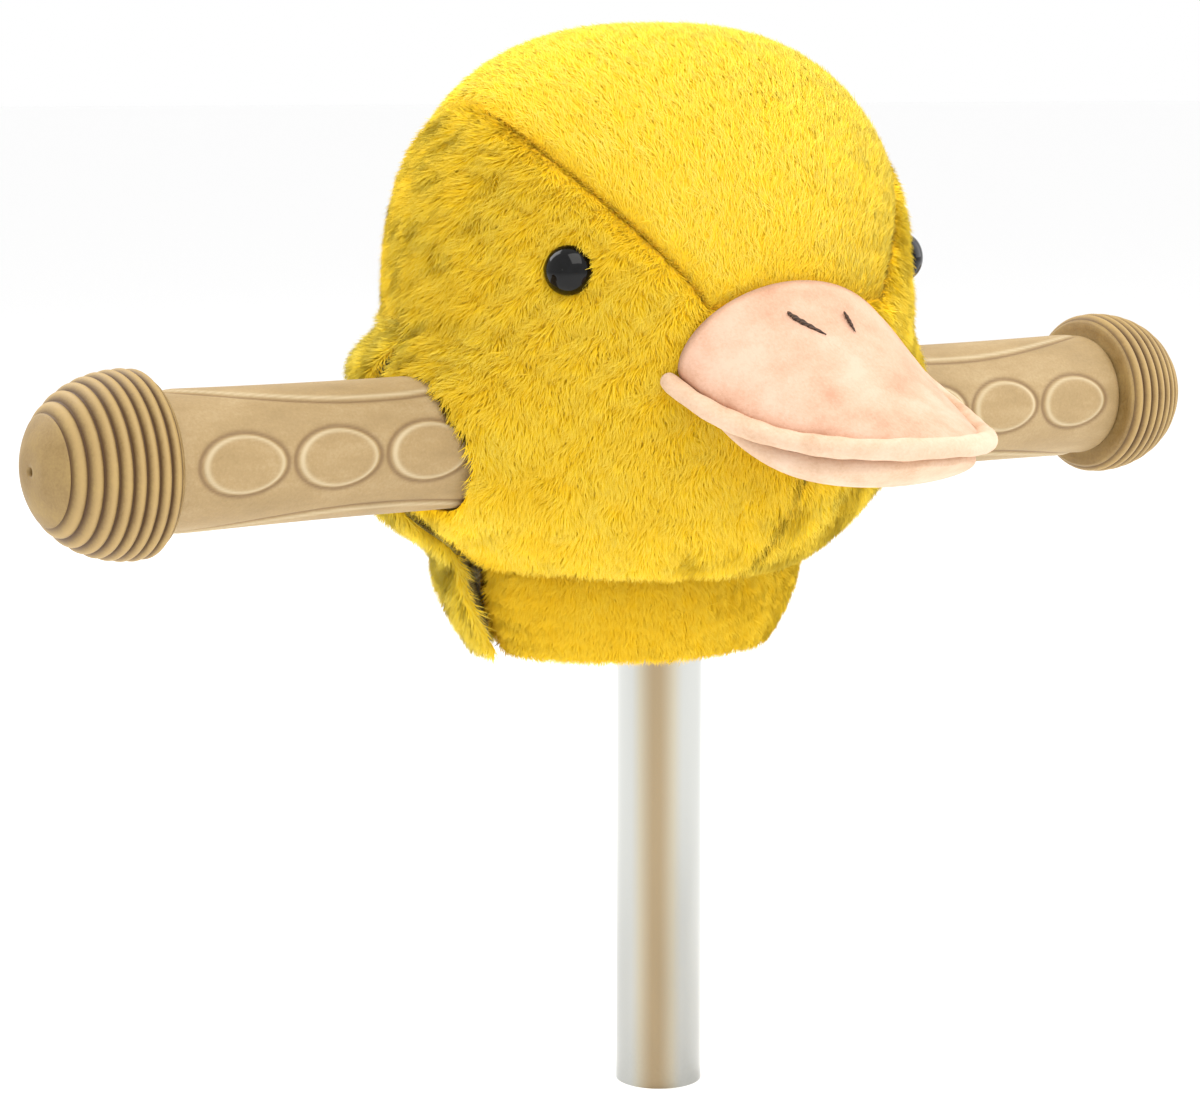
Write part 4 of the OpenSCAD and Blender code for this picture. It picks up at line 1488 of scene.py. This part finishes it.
@dataclass
class Bill:
    """The stuffed upper bill with its rolled rim, and the lower bill; sizes in millimetres."""

    form: HeadForm
    finishes: Finishes
    half_width: float = 33.6
    reach: float = 113.0
    mouth: float = 17.5
    rise: float = 21.0
    crest: float = 7.0
    arch: float = 1.4
    rim: float = 2.3
    lower_depth: float = 8.5
    lower_width: float = 31.0
    mouth_y: float = -52.0
    lip_y: float = -62.0
    lip_z: float = 10.0
    lining: float = 1.0
    lip_gap: float = 0.5
    nostril_right: tuple[float, float, float, float] = (15.0, 6.0, 0.15, 0.29)
    nostril_left: tuple[float, float, float, float] = (10.0, 9.0, 0.17, 0.28)
    outline_power: float = 1.8
    lip_fall: float = 31.0
    lip_curl: float = 18.5
    fall_power: float = 0.85
    tip_rise: float = 1.5
    skin: float = 1.4
    stitch: float = 7.5

    def width_at(self, s: np.ndarray) -> np.ndarray:
        """Share of the full width at share s of the way to the tip."""
        return root(1 - np.minimum(s, 1) ** self.outline_power, self.outline_power)

    def lip_line(self, s: np.ndarray) -> np.ndarray:
        """Height of the lips over the bar."""
        return self.mouth - self.lip_fall * s + self.lip_curl * s * s

    def top(self, q: np.ndarray, s: np.ndarray) -> np.ndarray:
        """A point of the upper skin; q goes over the bill from side to side in radians.

        Args:
            q: direction over the bill, in radians.
            s: share of the way to the tip.

        Returns:
            The points.
        """
        x = -self.half_width * np.cos(q) - self.crest * np.sin(q)
        hump = np.sin(q) ** self.arch
        y = self.form.face(x, self.mouth + self.rise * hump) - 0.1
        rise = self.rise * np.maximum(1 - s, 0) ** self.fall_power + self.tip_rise * self.width_at(s)
        return np.stack([x * self.width_at(s), y * (1 - s) - self.reach * s,
                         self.form.bar + self.lip_line(s) + rise * hump + self.skin], -1)

    def under(self, q: np.ndarray, s: np.ndarray, drop: float) -> np.ndarray:
        """A point of the upper bill's flat underside.

        Args:
            q: direction over the bill, in radians.
            s: share of the way to the tip.
            drop: depth under the lips.

        Returns:
            The points.
        """
        x = -self.half_width * np.cos(q)
        y = np.minimum(self.form.face(x, np.full_like(x, self.mouth)) - 0.1, self.top(q, 0 * s)[..., 1])
        z = self.form.bar + self.lip_line(s) - drop
        return np.stack([x * self.width_at(s), y * (1 - s) - self.reach * s, z + 0 * x], -1)

    def lower(self, q: np.ndarray, s: np.ndarray, drop: np.ndarray) -> np.ndarray:
        """A point of the lower bill, drop millimetres under its upper face.

        Args:
            q: direction over the bill, in radians.
            s: share of the way to the tip.
            drop: depth under the upper face.

        Returns:
            The points.
        """
        x = self.lower_width * np.cos(q) * self.width_at(s)
        face = self.form.face(x, np.full_like(x, self.lip_z)) - 1
        back = np.minimum(face - 0.4 * drop, self.lip_y - 0.4 * drop)
        z = self.form.bar + self.lip_line(s * 0.92 + 0.12) - self.lining - self.lip_gap - drop
        return np.stack([-x, back * (1 - s) - (self.reach - 1.5) * s, z + 0 * x], -1)

    def root_line(self) -> np.ndarray:
        """Points round the upper bill's root, down to the corners of the mouth and under the lower bill.

        Returns:
            The points, one row each.
        """
        q = np.radians(np.linspace(2, 178, 90))
        over = self.top(q, np.zeros_like(q))
        under = self.lower(q, np.zeros_like(q), 2.5 + 5.5 * np.sin(q))
        return np.concatenate([over, under])

    def grid(self, low: float, high: float, rows: int = 46,
             cols: int = 81) -> tuple[np.ndarray, np.ndarray]:
        """Shares along the bill and directions over it, closer together at the tip and the sides.

        Args:
            low: first share.
            high: last share.
            rows: number of shares.
            cols: number of directions.

        Returns:
            The shares and the directions, as grids.
        """
        s = (low + (high - low) * np.sin(np.linspace(0, math.pi / 2, rows)))[:, None]
        q = (math.radians(4) + math.radians(172) * np.linspace(0, 1, cols))[None, :]
        return np.broadcast_arrays(s, q)

    def upper(self) -> None:
        """The stuffed upper bill, puffed between its root seam and its rim."""
        s, q = self.grid(0.0, 0.992)
        crease = 0.9 * np.exp(-(s / 0.05) ** 2)
        top = self.top(q, s)
        top[..., 2] -= crease
        dimples = ripple(top.reshape(-1, 3), 16, 3).reshape(s.shape)
        top[..., 2] += 0.35 * dimples * np.sin(q) * (1 - s) * smooth(s * 8)
        piece = shell("upper_bill_velour", top, self.under(q, s, 0.0), False, self.finishes.bill)
        puffed(piece, self.sewn(piece), 3.0, 1.6)
        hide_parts("upper_bill")
        self.fit(piece, "head")

    def sewn(self, piece: bpy.types.Object) -> np.ndarray:
        """Whether each point lies on the bill's root, its underside or its outline.

        Args:
            piece: the bill.

        Returns:
            One truth value for each point.
        """
        _, y, z = (corners_of(piece.data) / MM).T
        s = np.clip((-y - 60) / (self.reach - 60), 0, 1)
        near_lip = z < self.form.bar + self.lip_line(s) + 2.2
        return near_lip | (y > -64)

    def rolled_rim(self) -> None:
        """The thick rolled and sewn rim, a little puckered by its stitches."""
        h = -np.sin(np.linspace(-math.pi / 2, math.pi / 2, 241))
        s = root(1 - np.abs(h) ** self.outline_power, self.outline_power)
        line = np.stack([np.sign(h) * (self.half_width + self.rim) * np.abs(h),
                         self.mouth_y * (1 - s) - (self.reach + self.rim) * s,
                         self.form.bar + self.lip_line(s) + 0.2], -1)
        run = np.concatenate([[0], np.cumsum(np.linalg.norm(np.diff(line, axis=0), axis=1))])
        turn = np.arange(20) / 20 * 2 * math.pi
        beat = np.sin(2 * math.pi * run / self.stitch + 1.1 * np.sin(run / 9))
        pucker = 0.05 * beat[:, None] * (0.6 + 0.4 * np.cos(turn))
        lumps = 0.06 * ripple(np.stack([run, 0 * run, 0 * run], 1), 13, 8)[:, None] * np.ones(20)
        end = np.minimum(run, run[-1] - run)
        radius = self.rim * (0.6 + 0.4 * root(np.clip(end / 3, 0, 1), 2)) * 1.08
        rim = tube("bill_rim_roll", line, radius, 20, self.finishes.rim, pucker + lumps)
        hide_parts("bill_rim")
        self.fit(rim, "head")

    def roof(self) -> None:
        """The velour under the upper bill, softly dished."""
        s, q = self.grid(0.02, 0.965, 30, 49)
        dish = 0.5 * np.sin(math.pi * np.clip(s, 0, 1)) * np.sin(q)
        outer, inner = self.under(q, s, 0.05), self.under(q, s, self.lining)
        inner[..., 2] += dish * 0.6
        piece = shell("mouth_roof_velour", outer, inner, False, self.finishes.mouth)
        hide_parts("mouth_roof")
        self.fit(piece, "head")

    def lower_lip(self) -> None:
        """The stuffed lower bill and the velour on its upper face."""
        s, q = self.grid(0.0, 0.98, 40, 65)
        belly = self.lining + 1.5 + self.lower_depth * np.sin(q) ** 0.6 * np.sin(
            math.pi * (0.12 + 0.86 * s) ** 0.8)
        piece = shell("lower_bill_velour", self.lower(q, s, belly), self.lower(q, s, self.lining), False,
                      self.finishes.rim)
        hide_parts("lower_bill")
        self.fit(piece, "jaw")
        s, q = self.grid(0.01, 0.95, 30, 49)
        tongue = 0.3 * np.sin(math.pi * s) * np.sin(q)
        lining = shell("lower_bill_lining_velour", self.lower(q, s, tongue),
                       self.lower(q, s, self.lining - 0.05), False, self.finishes.mouth)
        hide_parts("lower_bill_lining")
        self.fit(lining, "jaw")

    def nostrils(self) -> None:
        """Two rows of sewn thread: long stitches that overlap, on the bill's upper skin."""
        line = np.linspace(0, 1, 40)
        for side, name, sewn in ((RIGHT, "nostril_right", self.nostril_right),
                                 (LEFT, "nostril_left", self.nostril_left)):
            turn = sewn[0] + (sewn[1] - sewn[0]) * line ** 1.4
            s = sewn[2] + (sewn[3] - sewn[2]) * line
            path = self.top(np.radians(90 + side * turn), s) + np.array([0, -0.2, 0.25])
            beads = 0.16 * np.sin(2 * math.pi * line * 5)[:, None] * np.ones(12)
            thick = 0.62 if side == RIGHT else 0.42
            taper = thick * np.sin(math.pi * (0.04 + 0.92 * line ** 0.7)) ** 0.7
            stitch = tube(name, path, taper, 12, self.finishes.thread, beads)
            if side == RIGHT:
                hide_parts("nostril_stitches")
            self.fit(stitch, "head")

    def fit(self, piece: bpy.types.Object, body: str) -> None:
        """Puts a piece on its body.

        Args:
            piece: the piece.
            body: the body it rides on.
        """
        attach(piece, body)
        LOG.info(piece.name)

    def build(self) -> None:
        """Makes every piece of the bill."""
        self.upper()
        self.rolled_rim()
        self.roof()
        self.lower_lip()
        self.nostrils()


@dataclass
class SafetyEyes:
    """Black domed safety eyes on shanks, with their washers; sizes in millimetres."""

    form: HeadForm
    finishes: Finishes
    diameter: float = 12.0
    dome: float = 4.8
    nestle: float = 2.8
    sink: float = 1.0
    shank: float = 3.2
    shank_length: float = 9.0

    def build(self) -> None:
        """Makes both eyes and finishes their washers."""
        for side, name in ((RIGHT, "eye_right"), (LEFT, "eye_left")):
            eye = lathe(name + "_dome", self.profile(), 96, self.finishes.eye)
            spot, out = self.form.eye_frame(side)
            spot = spot - out * self.nestle
            turn = Vector(out).to_track_quat("X", "Z").to_matrix().to_4x4()
            eye.data.transform(Matrix.Translation(Vector(spot) * MM) @ turn)
            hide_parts(name)
            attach(eye, "head")
            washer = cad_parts["eye_washer_" + name[4:]]
            washer.data.materials.clear()
            washer.data.materials.append(self.finishes.washer)
            LOG.info(eye.name)

    def profile(self) -> list:
        """Outline of the dome, its rounded rim and the shank, along the eye's axis.

        Returns:
            (radius, place along the axis) pairs.
        """
        r = self.diameter / 2
        a = np.linspace(0.01, math.pi / 2, 40)
        dome = [(r * math.sin(t), self.dome * math.cos(t)) for t in a]
        rim = [(r - 0.25, -self.sink * 0.7), (r - 0.7, -self.sink)]
        back = -self.form.plush - self.shank_length
        return dome + rim + [(self.shank / 2, -self.sink), (self.shank / 2, back), (0.05, back)]


# ---- handlebar ---------------------------------------------------------------------


@dataclass
class Handlebar:
    """The tubes, the soft grips and the ribbed bar ends; sizes in millimetres."""

    finishes: Finishes
    bar: float
    tube: float
    grip_length: float = 110.0
    grip_end: float = 16.4
    waist: float = 15.8
    oval: tuple[float, float, float] = (22.0, 14.0, 0.45)
    oval_start: float = 17.0
    oval_pitch: float = 25.0
    ovals: int = 4
    pad_rise: float = 0.55
    pad_half_turn: float = 38.0
    moat: float = 0.3
    knob: float = 44.4
    knob_length: float = 29.0
    ribs: int = 8
    ribbed: tuple[float, float] = (0.04, 0.86)
    rib_depth: float = 1.4
    vent: float = 2.0
    spigot: float = 22.0

    def tubes(self) -> None:
        """Gives the plated tubes and the weld their metal."""
        for node, finish in (("stem_tube", self.finishes.chrome), ("cross_tube", self.finishes.chrome),
                             ("weld_bead", self.finishes.weld)):
            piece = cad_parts[node]
            piece.data.materials.clear()
            piece.data.materials.append(finish)
            LOG.info(node)

    def grip(self, side: float) -> None:
        """A moulded sleeve with a waist, leaf-shaped pads above and below, and oval finger bumps.

        Args:
            side: RIGHT or LEFT.
        """
        node = "grip_right" if side == RIGHT else "grip_left"
        low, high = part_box(node)
        outer_end = (high.x if side == LEFT else low.x) / MM
        run = np.concatenate([[0, 0.15, 0.5, 1.0], np.linspace(1.5, self.grip_length - 1.5, 270),
                              self.grip_length - np.array([1.0, 0.5, 0.15, 0])])[:, None]
        turn = (np.arange(176) / 176 * 2 * math.pi)[None, :]
        reach, _ = self.grip_shape(run, turn)
        x = outer_end - side * run + 0 * turn
        outer = np.stack([x, -np.cos(turn) * reach, self.bar + np.sin(turn) * reach], -1)
        inner = np.stack([x, -np.cos(turn) * (self.tube + 0.02) + 0 * run,
                          self.bar + np.sin(turn) * (self.tube + 0.02) + 0 * run], -1)
        piece = shell(node + "_sleeve", outer, inner, True, self.finishes.grip)
        x, y, z = points_of(piece).T
        _, relief = self.grip_shape(side * (outer_end - x), np.arctan2(z - self.bar, -y))
        # the relief gives the grip painted shade in its moats and a painted highlight on its pad and oval edges
        marked(piece, np.where(np.hypot(y, z - self.bar) > self.tube + 1, relief, 0.5))
        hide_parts(node)
        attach(piece, "handlebar")
        LOG.info(piece.name)

    def grip_shape(self, run: np.ndarray, turn: np.ndarray) -> tuple[np.ndarray, np.ndarray]:
        """Radius and relief of the grip, run millimetres from its outer end.

        Args:
            run: distance from the outer end.
            turn: direction in radians, 0 ahead and a quarter turn up.

        Returns:
            The radius, and how proud the surface stands: 0 in a groove, 1 on an edge.
        """
        share = np.clip(run / self.grip_length, 0, 1)
        body = self.waist + (self.grip_end - self.waist) * (2 * share - 1) ** 2
        leaf = np.sin(math.pi * np.clip(share * 1.04 - 0.02, 0, 1)) ** 0.8
        leaf = math.radians(self.pad_half_turn) * leaf
        off_pole = np.abs(np.abs(np.mod(turn + math.pi, 2 * math.pi) - math.pi) - math.pi / 2)
        inward = (leaf - off_pole) * self.waist
        fade = smooth(np.minimum(share, 1 - share) * 14)
        moat = np.exp(-((inward + 0.35) / 0.5) ** 2) * fade
        edge = np.exp(-((inward - 0.7) / 0.45) ** 2) * fade
        reach = body + self.pad_rise * smooth(inward / 1.2) * fade - self.moat * moat
        half, tall, rise = self.oval[0] / 2, self.oval[1] / 2, self.oval[2]
        across = np.sin(turn) * body
        for k in range(self.ovals):
            away = (run - self.oval_start - self.oval_pitch * k) / half
            inward = np.where(np.cos(turn) > 0, (1 - np.sqrt(away ** 2 + (across / tall) ** 2)) * tall, -9)
            ring, lip = np.exp(-((inward + 0.4) / 0.45) ** 2), np.exp(-((inward - 0.6) / 0.45) ** 2)
            dish = 0.15 * smooth((inward - 1.4) / 2.2)
            reach = reach + rise * smooth(inward) - self.moat * ring - dish
            moat, edge = np.maximum(moat, ring), np.maximum(edge, lip)
        ends = 0.7 * (1 - np.sqrt(np.clip(np.minimum(run, self.grip_length - run) / 1.5, 0, 1)))
        return reach - ends, 0.5 - 0.4 * moat + 0.4 * edge * (1 - moat)

    def bar_end(self, side: float) -> None:
        """A ribbed mushroom end with a flat tip, a vent hole and a spigot.

        Args:
            side: RIGHT or LEFT.
        """
        node = "bar_end_right" if side == RIGHT else "bar_end_left"
        low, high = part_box(node)
        tip = (high.x if side == LEFT else low.x) / MM
        piece = lathe(node + "_knob", self.knob_outline(), 144, self.finishes.bar_end)
        place = Matrix.Translation(Vector((tip - side * self.knob_length, 0, self.bar)) * MM)
        flip = Matrix.Scale(side, 4, Vector((1, 0, 0)))
        piece.data.transform(place @ flip)
        if side == RIGHT:
            piece.data.flip_normals()
        x, y, z = points_of(piece).T
        share = (side * (x - tip) + self.knob_length) / self.knob_length
        first, last = self.ribbed
        ridged = (np.hypot(y, z - self.bar) > self.tube) & (share > first) & (share < last)
        # the relief gives the bar end painted shade in its rib grooves and a painted highlight on the crests
        crest = np.where(ridged, 0.85 * self.rib_wave(share) ** 2, 0.5)
        marked(piece, crest)
        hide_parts(node)
        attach(piece, "handlebar")
        LOG.info(piece.name)

    def knob_outline(self) -> list:
        """Outline of a bar end from the vent's wall round the ribs to the spigot, as (radius, X) pairs.

        Returns:
            The pairs, in order.
        """
        first, last = self.ribbed
        share = np.linspace(first, last, self.ribs * 16 + 1)
        dip = self.rib_depth * (1 - self.rib_wave(share))
        ridged = [(float(self.knob_radius(t) - d), self.knob_length * t)
                  for t, d in zip(share, dip, strict=True)]
        flat = np.linspace(last + 0.01, 0.995, 12)
        disc = [(float(self.knob_radius(t)), self.knob_length * t) for t in flat]
        r, bore = self.vent / 2, self.tube - 1.55
        face = [(disc[-1][0] * k, self.knob_length * (0.995 + 0.005 * (1 - k * k))) for k in (0.7, 0.4)]
        vent = [(r + 0.3, self.knob_length), (r, self.knob_length - 0.4), (r, -self.spigot)]
        inside = [(bore, -self.spigot), (bore, 0.0)]
        rear = [(self.knob / 2 * 0.82, 0.9), (self.knob / 2 * 0.9, 0.35)]
        return vent + inside + rear + ridged + disc + face

    def rib_wave(self, share: np.ndarray) -> np.ndarray:
        """Height of the cord-like ribs at a share of a bar end's length, from 0 in a groove to 1.

        Args:
            share: shares of a bar end's length.

        Returns:
            Heights from 0 to 1.
        """
        first, last = self.ribbed
        wave = np.abs(np.sin(math.pi * (share - first) / (last - first) * self.ribs)) ** 0.7
        return np.where((share > first) & (share < last), wave, 0.5)

    def knob_radius(self, share: np.ndarray) -> np.ndarray:
        """Radius of a bar end's ribs at a share of its length.

        Args:
            share: shares of a bar end's length.

        Returns:
            Radii in millimetres.
        """
        rim = 0.94 + 0.06 * np.sin(math.pi / 2 * np.minimum(share / 0.16, 1))
        dome = np.sqrt(np.maximum(0, 1 - (np.maximum(share - 0.16, 0) / 0.86) ** 2.2))
        return self.knob / 2 * np.where(share < 0.16, rim, dome)

    def build(self) -> None:
        """Makes every piece of the handlebar."""
        self.tubes()
        for side in (RIGHT, LEFT):
            self.grip(side)
            self.bar_end(side)


# ---- studio --------------------------------------------------------------------------


@dataclass(frozen=True)
class Studio:
    """A white paper floor, soft lights and the camera; places in metres from the bar's middle."""

    bar: Vector
    azimuth: float = 34.8
    pitch: float = 8.3
    distance: float = 0.817
    aside: float = 0.0153
    below: float = 0.0314
    lens: float = 96.0
    floor_half: float = 30.0

    def camera(self) -> None:
        """Looks at the duckling's right cheek from a little above the bar."""
        a, p = math.radians(self.azimuth), math.radians(self.pitch)
        ahead = Vector((math.sin(a) * math.cos(p), math.cos(a) * math.cos(p), -math.sin(p)))
        right = Vector((math.cos(a), -math.sin(a), 0))
        up = right.cross(ahead)
        camera = bpy.data.objects.new("camera", bpy.data.cameras.new("camera"))
        camera.data.lens, camera.data.sensor_width = self.lens, 36.0
        camera.data.clip_start, camera.data.clip_end = 0.01, 50.0
        camera.location = self.bar - ahead * self.distance - right * self.aside - up * self.below
        camera.rotation_mode = "QUATERNION"
        camera.rotation_quaternion = ahead.to_track_quat("-Z", "Y")
        bpy.context.scene.collection.objects.link(camera)
        bpy.context.scene.camera = camera

    def light(self, name: str, place: tuple, size: float, power: float, tint: str) -> None:
        """Hangs a square soft light that looks at the head.

        Args:
            name: its name.
            place: where it hangs, from the bar's middle, in metres.
            size: its side, in metres.
            power: its power, in watts.
            tint: its colour.
        """
        lamp = bpy.data.lights.new(name, "AREA")
        lamp.shape, lamp.size, lamp.energy = "SQUARE", size, power
        lamp.color = linear(tint)[:3]
        holder = bpy.data.objects.new(name, lamp)
        holder.location = self.bar + Vector(place)
        holder.rotation_mode = "QUATERNION"
        holder.rotation_quaternion = (-Vector(place)).to_track_quat("-Z", "Y")
        bpy.context.scene.collection.objects.link(holder)

    def build(self) -> None:
        """Sets the floor, the lights, the world and the camera."""
        self.camera()
        self.light("softbox_key", (-0.12, -0.75, 1.0), 1.0, 10.0, "#FFFDF8")
        self.light("softbox_fill", (1.0, -0.35, 0.45), 0.9, 5.0, "#FFFFFF")
        self.light("softbox_back", (-0.45, 0.9, 0.95), 0.9, 13.0, "#FFFFFF")
        world = bpy.data.worlds.new("white_room")
        bpy.context.scene.world = world
        world.use_nodes = True
        world.node_tree.nodes["Background"].inputs["Color"].default_value = (1, 1, 1, 1)
        world.node_tree.nodes["Background"].inputs["Strength"].default_value = 1.0
        half = self.floor_half / MM
        corners = np.array([[-half, -half, 0], [half, -half, 0], [half, half, 0], [-half, half, 0]])
        mesh = bpy.data.meshes.new("paper_floor")
        mesh.from_pydata(corners * MM, [], [[0, 1, 2, 3]])
        material, tree, shader = blank("white_paper")
        at = add(tree, "TexCoord")
        fibre = add(tree, "TexNoise", {"Scale": per_metre(3), "Detail": 3.0},
                    {"Vector": at.outputs["Object"]})
        tone = add(tree, "ValToRGB", {"stops": [(0.3, "#FAFAFA"), (0.7, "#FFFFFF")]},
                   {"Fac": fibre.outputs["Fac"]})
        tree.links.new(tone.outputs["Color"], shader.inputs["Base Color"])
        shader.inputs["Roughness"].default_value = 0.9
        object_of("paper_floor", mesh, material)
        bpy.context.scene.view_settings.view_transform = "Standard"
        LOG.info("studio")


def main() -> None:
    """Builds the looks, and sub-assembly by sub-assembly."""
    logging.basicConfig(level=logging.INFO, format="%(name)s: %(message)s")
    low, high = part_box("cross_tube")
    bar = (low + high) / 2
    finishes = Finishes()
    form = HeadForm(bar=bar.z / MM)
    Studio(bar=bar).build()
    Handlebar(finishes, bar=bar.z / MM, tube=(high.z - low.z) / 2 / MM).build()
    bill = Bill(form, finishes)
    head = StuffedHead(form, finishes, bill.root_line())
    head.build()
    BackFlap(form, finishes).build(head)
    Closure(finishes).build()
    bill.build()
    SafetyEyes(form, finishes).build()


if __name__ == "__main__":
    main()
